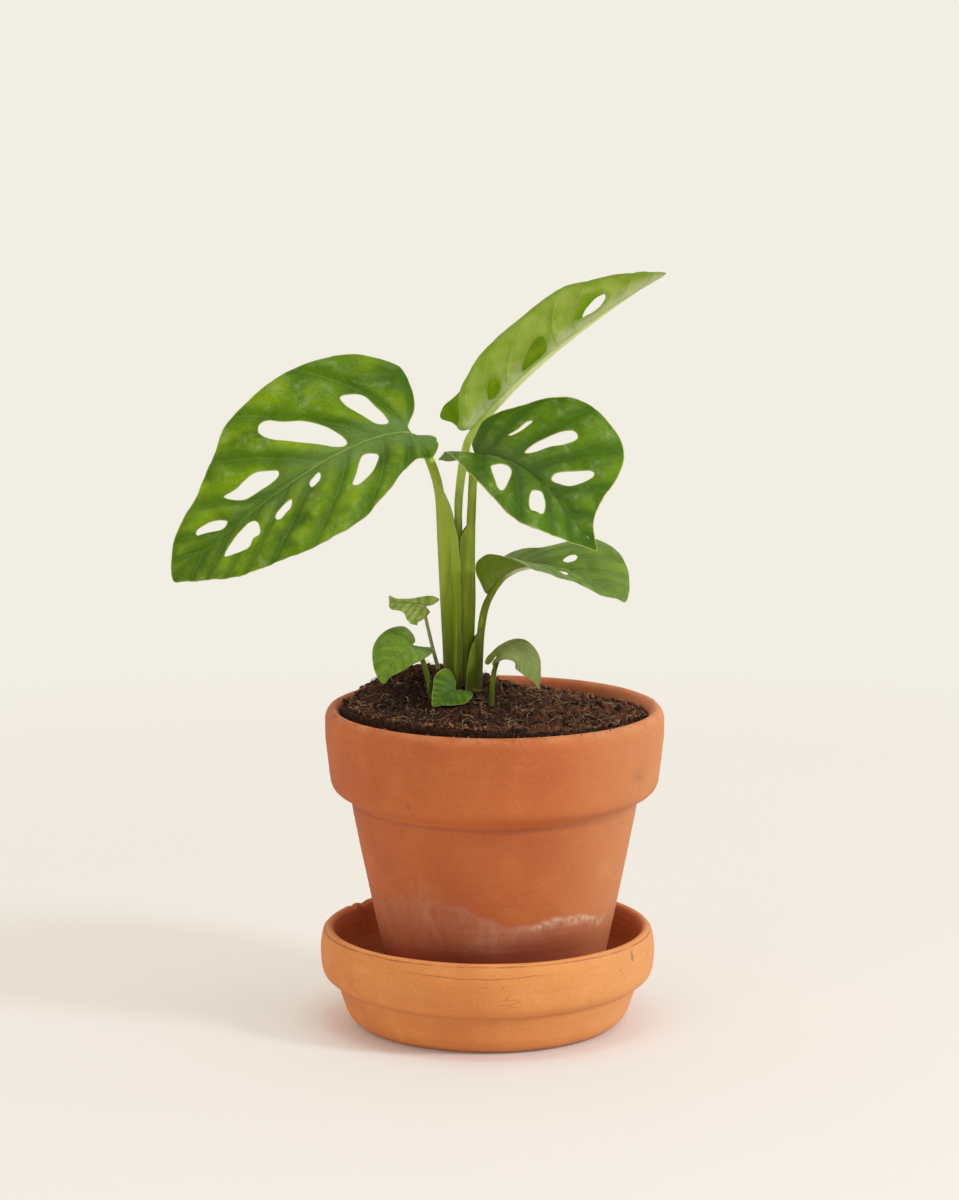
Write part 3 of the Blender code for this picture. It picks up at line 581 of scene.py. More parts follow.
soilShape = {
    "wallZ": 120.5, "tilt": 2.5, "lowSide": math.radians(45),  # the level at the wall, and its tilt
    # x, y, half width in x and y, height
    "mounds": [(-10, 2, 20, 20, 4.2), (-24, 20, 40, 28, 12.5)],
    "mouth": 58.9, "edge": 58.75, "rings": 118, "sectors": 400,
    # the skirt down inside the pot, radius and height
    "wall": [(57.0, 97), (55.7, 92), (50.1, 85), (48.5, 81), (36, 14.5), (32.5, 12.4)],
    # piece, how many, least share of the bed's radius, smallest and largest radius, ball rounds
    "litter": [("soilCrumbs", 360, 0.0, 0.7, 1.8, 2), ("soilGrains", 6800, 0.0, 0.16, 0.6, 1),
               ("wallCrumbs", 420, 0.96, 0.3, 1.0, 2), ("whiteGrains", 12, 0.0, 0.18, 0.4, 1)],
    "rimCrumbs": 70, "fibres": 1300, "rimStraws": 16,
    "fibreLength": (1.4, 7.5), "fibreThick": (0.045, 0.06),  # the least, and what chance adds
    # the rim's top under the straws and under the crumbs, radius and height
    "rim": [(57, 121.0), (59.6, 121.9), (61.4, 123.2), (63.0, 123.15), (64.3, 121.8), (64.8, 120.6)],
    "crumbRim": [(59.6, 121.9), (61.4, 123.1), (63.0, 123.0), (64.4, 121.7)],
    "highest": 123.6,  # no crumb on the rim stands above this
}


# x and y of a place about the pot's upright axis.
def aboutAxis(radius, turn):
    return potShape["axis"] + radius * np.cos(turn), radius * np.sin(turn)


# Level over the saucer's underside: a tilted plane, two bell-shaped mounds, a slow ripple and a low
# bank against the front wall.
def soilGround(x, y):
    shape = soilShape
    dx = x - potShape["axis"]
    turn = np.arctan2(y, dx)
    spread = np.clip(np.hypot(dx, y) / shape["mouth"], 0, 1)
    level = shape["wallZ"] - shape["tilt"] * spread * np.cos(turn - shape["lowSide"])
    for cx, cy, wide, deep, high in shape["mounds"]:
        level = level + high * bell(x, cx, wide) * bell(y, cy, deep) * (1 - spread**8)
    ripple = 0.5 * np.sin(0.55 * x + 1.3) * np.cos(0.47 * y) + 0.35 * np.sin(0.9 * y - 0.4 * x)
    return level + ripple * (1 - spread**4) + 1.9 * ease(0.84, 0.99, spread) * ease(0.5, -0.7, np.sin(turn))


# Painted shadow: the soil is darker in two bells, at the left front and in front of the stalks.
def soilShade(x, y):
    return 0.6 * bell(x, -27, 14) * bell(y, -12, 15) + 0.55 * bell(x, -4, 13) * bell(y, -8, 10)


# Crumb relief: domes of three sizes piled on slow lumps. Also each point's random number.
def soilCrumb(x, y):
    at = np.column_stack([x, y])
    big = domes(at / 4.8, 3)[0]
    middle, own = domes(at / 2.0, 23)
    small = domes(at / 0.95, 43)[0]
    crumb = 1.3 * (big**0.7 - 0.45) + 1.1 * (middle**0.7 - 0.4) + 0.6 * (small - 0.4)
    return crumb + 0.7 * softNoise(at / 9.0, 61), own


# Dark crumbly ground that the number "tone" takes from dark through red to pale.
def soilFinish():
    look = soilLook
    made, start = newFinish("soilCrumbly")
    at = start.place()
    tone = start.own("tone")
    grain = at.noise(1100, 4, 0.7)
    blotch = at.noise(480, 4, 0.7)
    strands = at.stretched(1, 0.35, 1).noise(1500, 2, 0.6, 1.5)
    tint = start.mixed(blotch.ramp(0.38, 0.6), look["dark"], look["tone"]).under(
        look,
        ("red", tone.ramp(0.45, 1) * 0.8),
        ("dark", tone.ramp(0.42, 0) * 0.85),
        ("red", grain.ramp(0.52, 0.66) * 0.6),
        ("pale", tone.ramp(0.86, 1.05) * 0.5),
        ("pale", strands.ramp(0.62, 0.74) * 0.5))
    height = grain * 0.8 + blotch * 0.5 + strands * 0.4
    start.skin(tint, 0.93, (height, 0.9, 0.0007), 0.2).ends()
    return made


# Straw between a dark and a pale tone, by the number "tone", with darker streaks.
def fibreFinish():
    look = soilLook
    made, start = newFinish("fibreStraw")
    streak = start.place().noise(900, 2)
    tint = start.mixed(start.own("tone"), look["fibreDark"], look["fibrePale"])
    tint = tint.under(look, ("fibreDark", streak.ramp(0.5, 0.7) * 0.4))
    start.skin(tint, streak * 0.3 + 0.5).ends()
    return made


# The bed: rings out to the wall with crumb relief, flatter at the wall, then down inside the pot.
def soil(finish):
    shape = soilShape
    sectors = shape["sectors"]
    turn = circle(sectors)
    radii = np.linspace(0.6, shape["edge"], shape["rings"])
    x, y = (v.ravel() for v in aboutAxis(radii[:, None], turn))
    crumb, own = soilCrumb(x, y)
    fade = np.repeat(radii, sectors)
    z = soilGround(x, y) + crumb * (ease(shape["edge"], shape["edge"] - 2.5, fade) * 0.8 + 0.2)
    wall = [spot(r, turn, h, potShape["axis"]) for r, h in shape["wall"]]
    ends = [[potShape["axis"], 0, h] for h in (float(z[:sectors].mean()), shape["wall"][-1][1])]
    points = np.vstack([np.column_stack([x, y, z]), *wall, ends])
    # the bed's tone: random and led by the crumbs, lighter to the right, less the painted shadow
    tone = np.clip(0.5 * own + 0.36 * crumb + 0.12 * ease(-15, 40, x) - soilShade(x, y), -0.2, 0.74)
    tone = tone * (0.4 + 0.6 * ease(shape["edge"] - 0.3, shape["edge"] - 3.0, fade))
    tone = np.append(tone, np.full(len(points) - len(x), 0.1))
    addPiece("soilBed", points, cappedFaces(shape["rings"] + len(shape["wall"]), sectors), finish,
             ["soil"], {"tone": tone})


# Random turns as matrices, from unit quaternions.
def randomTurns(count, rng):
    w, x, y, z = unit(rng.normal(size=(count, 4))).T
    rows = [1 - 2 * (y * y + z * z), 2 * (x * y - z * w), 2 * (x * z + y * w),
            2 * (x * y + z * w), 1 - 2 * (x * x + z * z), 2 * (y * z - x * w),
            2 * (x * z - y * w), 2 * (y * z + x * w), 1 - 2 * (x * x + y * y)]
    return np.stack(rows, axis=1).reshape(-1, 3, 3)


# Dented lumps: each point of a ball is pulled in by a random share, stretched, turned and moved.
def lumps(places, sizes, rounds, rng):
    work = bmesh.new()
    bmesh.ops.create_icosphere(work, subdivisions=rounds, radius=1.0)
    ball = np.array([v.co[:] for v in work.verts])
    faces = np.array([[v.index for v in f.verts] for f in work.faces])
    work.free()
    dent = 1 - rng.random((len(places), len(ball))) * 0.5
    stretch = sizes[:, None, None] * (0.6 + 0.7 * rng.random((len(places), 1, 3)))
    body = ball[None] * dent[..., None] * stretch
    points = np.einsum("nij,nvj->nvi", randomTurns(len(places), rng), body) + places[:, None]
    steps = (np.arange(len(places)) * len(ball))[:, None, None]
    return points.reshape(-1, 3), [(faces[None] + steps).reshape(-1, 3)], len(ball)


# Tubes of few sides along many short paths at once: rings at right angles to each path.
def tubes(name, paths, radii, finish, tone, sides=4):
    along = unit(np.gradient(paths, axis=1))
    across = unit(np.cross(along, np.array([0.31, 0.22, 0.93])))
    lift = np.cross(across, along)
    t = circle(sides)[:, None]
    ring = np.cos(t) * across[:, :, None] + np.sin(t) * lift[:, :, None]
    points = paths[:, :, None] + ring * radii[:, :, None, None]
    count, steps = paths.shape[:2]
    starts = (np.arange(count) * steps * sides)[:, None, None]
    caps = np.array([range(sides), range(steps * sides - 1, (steps - 1) * sides - 1, -1)])
    faces = [(part[None] + starts).reshape(-1, part.shape[1]) for part in (gridFaces(steps, sides), caps)]
    addPiece(name, points.reshape(-1, 3), faces, finish, (), {"tone": np.repeat(tone, steps * sides)})


# Loose crumbs and grains on the bed, at its wall and on the rim's top, most of these at the front.
def soilLitter(finish, strawFinish):
    shape = soilShape
    rng = np.random.default_rng(8)
    for name, count, inner, low, high, rounds in shape["litter"]:
        sizes = low + (high - low) * rng.random(count) ** 2.0
        radius = (shape["edge"] - sizes * 0.7) * np.sqrt(inner**2 + (1 - inner**2) * rng.random(count))
        x, y = aboutAxis(radius, rng.random(count) * 2 * math.pi)
        z = soilGround(x, y) + soilCrumb(x, y)[0] * 0.9 + sizes * 0.35
        points, faces, each = lumps(np.column_stack([x, y, z]), sizes, rounds, rng)
        # the crumbs take the painted shadow too
        tone = 1.12 * rng.random(count) ** 1.5 - soilShade(x, y)
        skin = finish
        if name == "whiteGrains":
            skin, tone = strawFinish, np.full(count, 1.3)
        addPiece(name, points, faces, skin, (), {"tone": np.repeat(tone, each)})
    count = shape["rimCrumbs"]
    turn = np.radians(rng.normal(-90, 50, count))
    radius = rng.uniform(59.6, 63.4, count)
    sizes = rng.uniform(0.1, 0.34, count)
    rimZ = np.interp(radius, *zip(*shape["crumbRim"])) + sizes * 0.3
    places = spot(radius, turn, np.minimum(rimZ, shape["highest"]), potShape["axis"])
    points, faces, each = lumps(places, sizes, 1, rng)
    addPiece("rimCrumbs", points, faces, finish, (), {"tone": np.repeat(rng.random(count), each)})


# Fibres: short arcs that wander over the crumbs, some with one end up in the air.
def soilFibres(strawFinish):
    shape = soilShape
    rng = np.random.default_rng(21)
    count = shape["fibres"]

    # A number from 0 to 1 for each of the strands being made; a higher power makes high ones rare.
    def chance(power=1.0):
        return rng.random((count, 1)) ** power

    radius = (shape["edge"] - 1.5) * np.sqrt(chance())
    turn = chance() * 2 * math.pi
    least, more = shape["fibreLength"]
    length = least + more * chance(3)
    heading = chance() * 2 * math.pi
    t = np.linspace(0, 1, 9)[None, :]
    way = heading + rng.normal(0, 1.5, (count, 1)) * t + 0.35 * np.sin(9 * t + turn)
    x, y = (place + np.cumsum(step * length / 8, axis=1)
            for place, step in zip(aboutAxis(radius, turn), (np.cos(way), np.sin(way))))
    # strands that would run into the clay are drawn back inside it
    away = np.hypot(x - potShape["axis"], y)
    pull = np.minimum(1, (shape["edge"] - 0.6) / np.maximum(away, 1e-6))
    x = potShape["axis"] + (x - potShape["axis"]) * pull
    y = y * pull
    arch = (0.25 + 1.9 * chance(3)) * np.sin(t * math.pi)
    tip = (chance() < 0.2) * t**2 * length * 0.32
    z = (soilGround(x.ravel(), y.ravel()) + soilCrumb(x.ravel(), y.ravel())[0] * 0.75).reshape(x.shape)
    z = z * 0.5 + z.mean(axis=1, keepdims=True) * 0.5 + 0.5 + arch + tip
    least, more = shape["fibreThick"]
    thick = (least + more * chance(2)) * (1 - 0.45 * t)
    tubes("soilFibres", np.stack([x, y, z], axis=-1), thick, strawFinish, chance(2.2).ravel())
    # short straws laid across the rim's top, following its rounded profile outwards
    count = shape["rimStraws"]
    turn = np.radians(rng.normal(-92, 34, (count, 1))) + rng.normal(0, 0.03, (count, 1)) * t
    radius = rng.uniform(58.0, 60.5, (count, 1)) + rng.uniform(2.0, 5.2, (count, 1)) * t
    top = np.interp(radius, *zip(*shape["rim"]))
    lift = 0.12 + 0.5 * np.sin(t * math.pi) * chance()
    thick = 0.075 * (1 - 0.4 * t) + 0 * lift
    tubes("rimStraws", spot(radius, turn, top + lift, potShape["axis"]), thick, strawFinish,
          rng.uniform(0.2, 1, count))


# Leaves

# A leaf's surface: along runs on the midrib from the stalk's joint, across to its sides, the left
# one positive. The midrib is a cubic Bezier curve, facing turns the upper side from base to tip,
# and each half is lifted by its own fold angle, eased over the crease.
class LeafSurface:
    crease = 0.7

    def __init__(self, shape):
        self.rib = np.asarray(shape["rib"], float)
        self.facing = unit(np.asarray(shape["facing"], float))
        self.folds = shape["folds"]
        self.steps = np.linspace(0, 1, 401)
        self.run = runLength(self.onRib(self.steps))
        self.length = float(self.run[-1])

    def onRib(self, t):
        t = np.asarray(t, float)[:, None]
        p, q, r, s = self.rib
        return (1 - t) ** 3 * p + 3 * (1 - t) ** 2 * t * q + 3 * (1 - t) * t**2 * r + t**3 * s

    # The midrib's point and its forward, up and left; past either end it runs straight on.
    def axes(self, along):
        inside = np.clip(along, 0, self.length)
        t = np.interp(inside, self.run, self.steps)
        p, q, r, s = self.rib
        u = t[:, None]
        forward = unit((1 - u) ** 2 * (q - p) + 2 * (1 - u) * u * (r - q) + u**2 * (s - r))
        k = np.clip(along / self.length, 0, 1)[:, None]
        first, *middle, last = self.facing
        if middle:
            up = first * (1 - k) ** 2 + 2 * middle[0] * (1 - k) * k + last * k**2
        else:
            up = first * (1 - k) + last * k
        up = unit(up - (up * forward).sum(1, keepdims=True) * forward)
        return self.onRib(t) + forward * (along - inside)[:, None], forward, up, np.cross(up, forward)

    # Point + left across cos(fold) + up rise sin(fold), with rise = √(across² + crease²) - crease.
    def lay(self, along, across):
        point, _, up, left = self.axes(along)
        k = np.clip(along / self.length, 0, 1)
        sides = [np.interp(k, np.linspace(0, 1, len(f)), f) for f in self.folds]
        fold = np.radians(np.where(across >= 0, sides[0], sides[1]))
        rise = np.sqrt(across**2 + self.crease**2) - self.crease
        return point + left * (across * np.cos(fold))[:, None] + up * (rise * np.sin(fold))[:, None]

    # Unit normals on the upper side, from two small steps on the surface.
    def normals(self, along, across):
        h = 0.25
        da = self.lay(along + h, across) - self.lay(along - h, across)
        dc = self.lay(along, across + h) - self.lay(along, across - h)
        return unit(np.cross(da, dc))

    # The place straight below the midrib's upper side.
    def under(self, along, depth):
        point, _, up, _ = self.axes(np.array([float(along)]))
        return (point - up * depth)[0]


# Inside the first loop and outside the others, by counting the edges that a ray to the side crosses.
def insideLeaf(loops, points):
    inside = np.ones(len(points), bool)
    for wanted, loop in zip([True] + [False] * len(loops), loops):
        hit = np.zeros(len(points), bool)
        for (x0, y0), (x1, y1) in zip(loop, np.roll(loop, -1, axis=0)):
            spans = (y0 > points[:, 1]) != (y1 > points[:, 1])
            cross = x0 + (points[:, 1] - y0) * (x1 - x0) / (y1 - y0 + 1e-12)
            hit ^= spans & (points[:, 0] < cross)
        inside &= hit == wanted
    return inside


# The distance from each point to the nearest of the others.
def nearest(points, others):
    found = np.empty(len(points))
    for i in range(0, len(points), 2000):
        part = points[i:i + 2000]
        square = (part**2).sum(1)[:, None] + (others**2).sum(1)[None] - 2 * part @ others.T
        found[i:i + 2000] = np.sqrt(np.maximum(square.min(axis=1), 0))
    return found


# Side veins leave the midrib at start and reach along = start + slope |across| + bow across², with
# the slope read between their own; those of the base lobes (start below 0) fan out from the joint.
def veinReach(shape, start, across, half):
    starts, slopes = zip(*shape["veins"][half])
    slope = np.interp(start, starts, slopes) + 0.13 * np.minimum(start - starts[0], 0)
    return np.maximum(start, 0) + slope * np.abs(across) + shape["bow"][half] * across**2


# The start of the vein through each point, found by halving, as a running number: whole on a side vein.
def veinNumber(shape, along, across):
    sides = []
    for half, veins in enumerate(shape["veins"]):
        low = np.full(len(along), -60.0)
        high = np.full(len(along), 160.0)
        for _ in range(26):
            middle = (low + high) / 2
            short = veinReach(shape, middle, across, half) < along
            low = np.where(short, middle, low)
            high = np.where(short, high, middle)
        starts = [vein[0] for vein in veins]
        ends = [6 * starts[0] - 5 * starts[1], *starts, 6 * starts[-1] - 5 * starts[-2]]
        sides.append(np.interp(low, ends, [-5, *range(len(starts)), len(starts) + 4]))
    return np.where(across >= 0, *sides)


# The distance between neighbouring veins: 1 / the slope of the vein number.
def veinPitch(shape, along, across):
    h = 0.2
    da = veinNumber(shape, along + h, across) - veinNumber(shape, along - h, across)
    outer = np.where(across >= 0, np.maximum(across, h), np.minimum(across, -h))
    dc = veinNumber(shape, along, outer + h * 0.9) - veinNumber(shape, along, outer - h * 0.9)
    return 1 / np.maximum(np.hypot(da / (2 * h), dc / (1.8 * h)), 0.02)


# The flat leaf as triangles: outline, holes, midrib and side veins hold points of their own, and
# a hexagonal grid fills the rest.
def flatLeaf(shape, length):
    step = shape["step"]
    margins = [shape["margin"], *shape["holes"]]
    loops = [smoothLoop(loop, step) for loop in margins]
    outline = np.vstack(loops)

    def free(points, clear, others):
        points = points[insideLeaf(loops, points)]
        return points[nearest(points, others) > clear]

    rib = np.arange(0.4, length - 0.4, step)
    rib = free(np.column_stack([rib, 0 * rib]), step * 0.5, outline)
    sideways = np.arange(step, 60, step)
    lines = [np.column_stack([veinReach(shape, start, sideways, half), sideways * (1 - 2 * half)])
             for half in (0, 1) for start, _ in shape["veins"][half]]
    held = np.vstack([outline, rib])
    veins = free(np.vstack(lines), step * 0.6, held)
    _, first = np.unique(np.floor(veins / (step * 0.55)).astype(int), axis=0, return_index=True)
    held = np.vstack([held, veins[np.sort(first)]])
    low, high = outline.min(axis=0), outline.max(axis=0)
    rows = np.arange(low[1], high[1], step * 0.87)
    shift = np.arange(len(rows)) % 2 * step / 2
    a = np.arange(low[0], high[0], step)[None, :] + shift[:, None]
    grid = np.column_stack([a.ravel(), np.repeat(rows, a.shape[1])])
    points = np.vstack([held, free(grid, step * 0.62, held)])
    edges = []
    for loop in loops:
        here = np.arange(len(loop)) + len(edges)
        edges += np.column_stack([here, np.roll(here, -1)]).tolist()
    flat, _, faces, _, _, _ = delaunay_2d_cdt(points.tolist(), edges, [], 0, 1e-6)
    flat = np.array([v[:] for v in flat])
    faces = np.array(faces)
    faces = faces[insideLeaf(loops, flat[faces].mean(axis=1))]
    used, faces = np.unique(faces, return_inverse=True)
    faces = faces.reshape(-1, 3)
    flat = flat[used]
    p, q, r = (flat[faces[:, k]] for k in range(3))
    turned = (q[:, 0] - p[:, 0]) * (r[:, 1] - p[:, 1]) - (q[:, 1] - p[:, 1]) * (r[:, 0] - p[:, 0]) < 0
    faces[turned] = faces[turned][:, ::-1]
    return flat, faces, nearest(flat, np.vstack([smoothLoop(loop, 0.25) for loop in margins]))


leafThick, rimThick = 0.5, 0.2


# A blade: the flat leaf laid on its surface, pillowed between its veins, waved at its edge, and
# given an upper and a lower face that meet at a rim.
def blade(node, shape):
    surface = LeafSurface(shape)
    flat, faces, edge = flatLeaf(shape, surface.length)
    along, across = flat.T
    number = veinNumber(shape, along, across)
    pitch = veinPitch(shape, along, across)
    away = np.abs((number + 0.5) % 1 - 0.5) * pitch
    finer = np.abs((number * 3 + 0.5) % 1 - 0.5) * pitch / 3
    side = np.abs(across)
    seed = shape["seed"]
    pillow = 1 - np.exp(-np.sqrt(away**2 + 0.03) / shape["width"])
    pillow *= (ease(0, 4, edge) * 0.75 + 0.25) * ease(0, 2.5, side) * ease(1.0, 4.0, pitch)
    wrinkle = softNoise(flat / shape["wrinkleSize"], seed) + 0.5 * softNoise(flat / 3.1, seed + 5)
    groove = bell(side, 0, 0.8) * ease(surface.length, surface.length * 0.6, along)
    lift = shape["high"] * (pillow - 0.35 + 0.14 * (1 - bell(finer, 0, 0.9)))
    lift += shape["wrinkle"] * wrinkle * ease(0, surface.length * 0.07, side) - shape["groove"] * groove
    lift += shape["wave"] * np.exp(-edge / 4) * np.sin(2.4 * number + seed)
    thick = rimThick + (leafThick - rimThick) * ease(0, 2.5, edge)
    normal = surface.normals(along, across)
    points = [surface.lay(along, across) + normal * (lift + way * thick / 2)[:, None] for way in (1, -1)]
    count = len(flat)
    sides = np.concatenate([faces[:, [0, 1]], faces[:, [1, 2]], faces[:, [2, 0]]])
    alone = sides[~np.isin(sides[:, 0] * count + sides[:, 1], sides[:, 1] * count + sides[:, 0])]
    rim = np.column_stack([alone[:, ::-1], alone + count])
    values = {"veinNumber": number, "veinPitch": pitch, "edge": edge, "side": side,
              "share": np.clip(along / surface.length, 0, 1)}
    values = {key: np.tile(v, 2) for key, v in values.items()}
    values["upper"] = np.repeat([1, 0], count)
    addPiece(shape["piece"], np.vstack(points), [faces, faces[:, ::-1] + count, rim], leafFinish(shape),
             [node], values, np.tile(flat, (2, 1)))


# In each look, sheen is the colour of painted sheen, haze how much of it lies along the midrib, and furrow
# how much painted shade darkens the vein furrows.
leafUsual = dict(rough=0.31, fineVein=0.5, edgeShow=0.6, ribShow=0.7, veinShow=0.5, mottle=0.4, furrow=0.4,
                 band=0.3, haze=0, passed=0.2)
leafLook = {
    "green": tones(deep=(50, 80, 0), tone=(94, 126, 2), fresh=(148, 174, 8), sheen=(156, 180, 102),
        vein=(112, 146, 50), rib=(154, 178, 84), edge=(184, 190, 96), under=(134, 160, 84),
        underVein=(166, 182, 112), fineVein=0.35, edgeShow=0.5, veinShow=0.4, patchSize=9, mottle=0.22,
        furrow=0.6, reach=0.12, band=0.62, haze=0.34, shine=0.17),
    "dark": tones(deep=(48, 78, 2), tone=(80, 114, 6), fresh=(118, 150, 14), sheen=(162, 180, 118),
        vein=(84, 116, 36), rib=(50, 76, 14), edge=(200, 202, 110), under=(130, 156, 84),
        underVein=(160, 176, 108), fineVein=0.35, edgeShow=0.8, veinShow=0.35, patchSize=11, furrow=0.5,
        reach=0.3, band=0.42, haze=0.12, shine=0.2),
    "young": tones(deep=(92, 124, 0), tone=(130, 162, 0), fresh=(160, 184, 8), sheen=(130, 160, 20),
        vein=(116, 144, 30), rib=(170, 184, 96), edge=(158, 164, 96), under=(180, 194, 88),
        underVein=(226, 226, 178), rough=0.5, fineVein=0.3, ribShow=0.6, veinShow=0.2, patchSize=12,
        furrow=0.6, reach=0.7, band=0.2, shine=0.08, passed=0.28),
    "grey": tones(deep=(86, 110, 26), tone=(124, 148, 52), fresh=(140, 166, 44), sheen=(150, 170, 100),
        vein=(148, 164, 98), rib=(120, 142, 62), edge=(186, 190, 124), under=(134, 156, 44),
        underVein=(160, 176, 92), rough=0.3, fineVein=0.8, ribShow=0.4, patchSize=16, furrow=0.5, reach=0.2,
        shine=0.26),
    "dull": tones(deep=(100, 112, 44), tone=(142, 150, 74), fresh=(160, 168, 72), sheen=(176, 182, 122),
        vein=(180, 186, 120), rib=(150, 158, 88), edge=(160, 150, 100), under=(134, 148, 84),
        underVein=(160, 170, 108), rough=0.36, fineVein=0.6, edgeShow=0.5, ribShow=0.3, patchSize=24,
        reach=0.7, shine=0.24, passed=0.15),
    "sprout": tones(deep=(78, 112, 14), tone=(122, 152, 30), fresh=(146, 172, 42), sheen=(186, 200, 118),
        vein=(160, 182, 84), rib=(150, 174, 76), edge=(190, 196, 110), under=(150, 168, 80),
        underVein=(170, 182, 112), rough=0.28, edgeShow=0.4, ribShow=0.35, patchSize=34, furrow=0.3,
        reach=0.5, band=0.2, shine=0.3, passed=0.25),
    # crumpled: lighter tones overall, and near-white fresh and sheen patches that are painted highlights on
    # the crumples
    "crumpled": tones(deep=(112, 126, 30), tone=(190, 198, 92), fresh=(236, 238, 156),
        sheen=(236, 236, 190), vein=(190, 194, 110), rib=(120, 130, 50), edge=(214, 212, 140),
        under=(170, 178, 88), underVein=(190, 196, 120), rough=0.22, ribShow=0.5, patchSize=70, reach=0.8,
        shine=0.5, passed=0.35)
}


# Leaf skin: green that drifts between deep and fresh with patches of painted sheen, a darker band
# along the midrib under a painted sheen that fades towards the tip, side veins in furrows darkened
# with painted shade with finer ones in between, a net of cells and a thin light rim. The underside
# is paler towards the midrib. Some light passes through, less so at the veins.
def leafFinish(shape):
    look = {**leafUsual, **leafLook[shape["look"]]}
    made, start = newFinish("skin_" + shape["piece"])
    number, pitch, edge = start.own("veinNumber", "veinPitch", "edge")
    side, share, upper = start.own("side", "share", "upper")
    flat = start.node("UVMap", {"uv_map": "flat"})
    seeded = flat.node("VectorMath", {"operation": "ADD"}, {0: flat, 1: (shape["seed"] * 3.7, 1.3, 0)})
    size = look["patchSize"]
    drift = seeded.noise(size * 0.5, 2, 0.5, 0.3)
    patch = seeded.noise(size, 2, 0.5, 0.5)
    mottle = seeded.noise(42, 4, 0.65)
    skin = seeded.noise(170, 3, 0.6)
    spread = seeded.noise(40, 3, 0.6)
    gap = number.fromWhole() * 11
    reach = side * shape.get("spread", 1.0)
    wide = pitch.ramp(0.6, 3)
    veins = (number.fromWhole() * pitch).ramp(0.4, 0.1) * wide * edge.ramp(0.6, 4.5)
    fine = ((number * 4).fromWhole() * pitch * 0.25).ramp(0.26, 0.07) * wide * look["fineVein"]
    net = seeded.cells(110, "DISTANCE_TO_EDGE").ramp(0.09, 0.02)
    rib = (side + share * 0.25).ramp(0.5, 0.22)
    # furrow: painted shade in the furrows along the side veins
    furrow = gap.ramp(3.2, 0.3) * wide * reach.ramp(26, 5, look["reach"], 1)
    furrow = furrow * share.ramp(0.5, 0.9, 1, 0.3)
    # bloom: patches of painted sheen, light colour standing in for reflections on the bulges
    bloom = seeded.noise(size * 1.6, 3, 0.6, 0.6).ramp(0.5, 0.68) * gap.ramp(0.2, 3.5)
    above = start.mixed(drift.ramp(0.22, 0.62), look["deep"], look["tone"]).under(
        look,
        ("fresh", patch.ramp(0.26, 0.7) * gap.ramp(0.4, 4.5) * 0.9),
        ("fresh", mottle.ramp(0.5, 0.7) * look["mottle"]),
        ("deep", mottle.ramp(0.48, 0.28) * look["mottle"]),
        ("sheen", bloom * mottle.ramp(0.3, 0.6) * 0.5),
        ("deep", (reach.ramp(11, 1) + share.ramp(0.3, 0) * 0.5) * look["band"]),
        ("deep", furrow * look["furrow"]),
        # painted sheen along the midrib, fading towards the tip
        ("sheen", reach.ramp(13, 2) * share.ramp(0.85, 0.15) * look["haze"]),
        ("deep", net * 0.4),
        ("vein", fine * 0.4),
        ("vein", veins * 0.5),
        ("rib", rib * share.ramp(0.3, 0.9, 1, 0.2) * look["ribShow"]))
    tint = start.mixed(patch.ramp(0.35, 0.7) * 0.5, look["under"], look["tone"]).under(
        look,
        ("underVein", (side + spread * 7 - 2).ramp(9, 0.5) * 0.9),
        ("tone", furrow * patch.ramp(0.4, 0.6) * 0.25),
        ("underVein", (veins + fine * 0.4) * look["veinShow"]),
        ("deep", edge.ramp(2.6, 0.4) * 0.3),
        (above, upper),
        ("edge", edge.ramp(shape["step"] * 0.42, 0.1) * look["edgeShow"]))
    height = net * -0.3 - fine * 0.3 - veins * 0.6 + skin * 0.4 + patch * 0.6
    rough = (skin - 0.5) * 0.3 + look["rough"] + (1.0 - upper) * 0.2
    body = start.skin(tint, rough, (height * (upper * 2 - 1), 0.7, 0.0003), look["shine"])
    body.lit(look["passed"] - veins * 0.08 - net * 0.04 - rib * 0.1, (0.55, 0.84, 0.02)).ends()
    return made


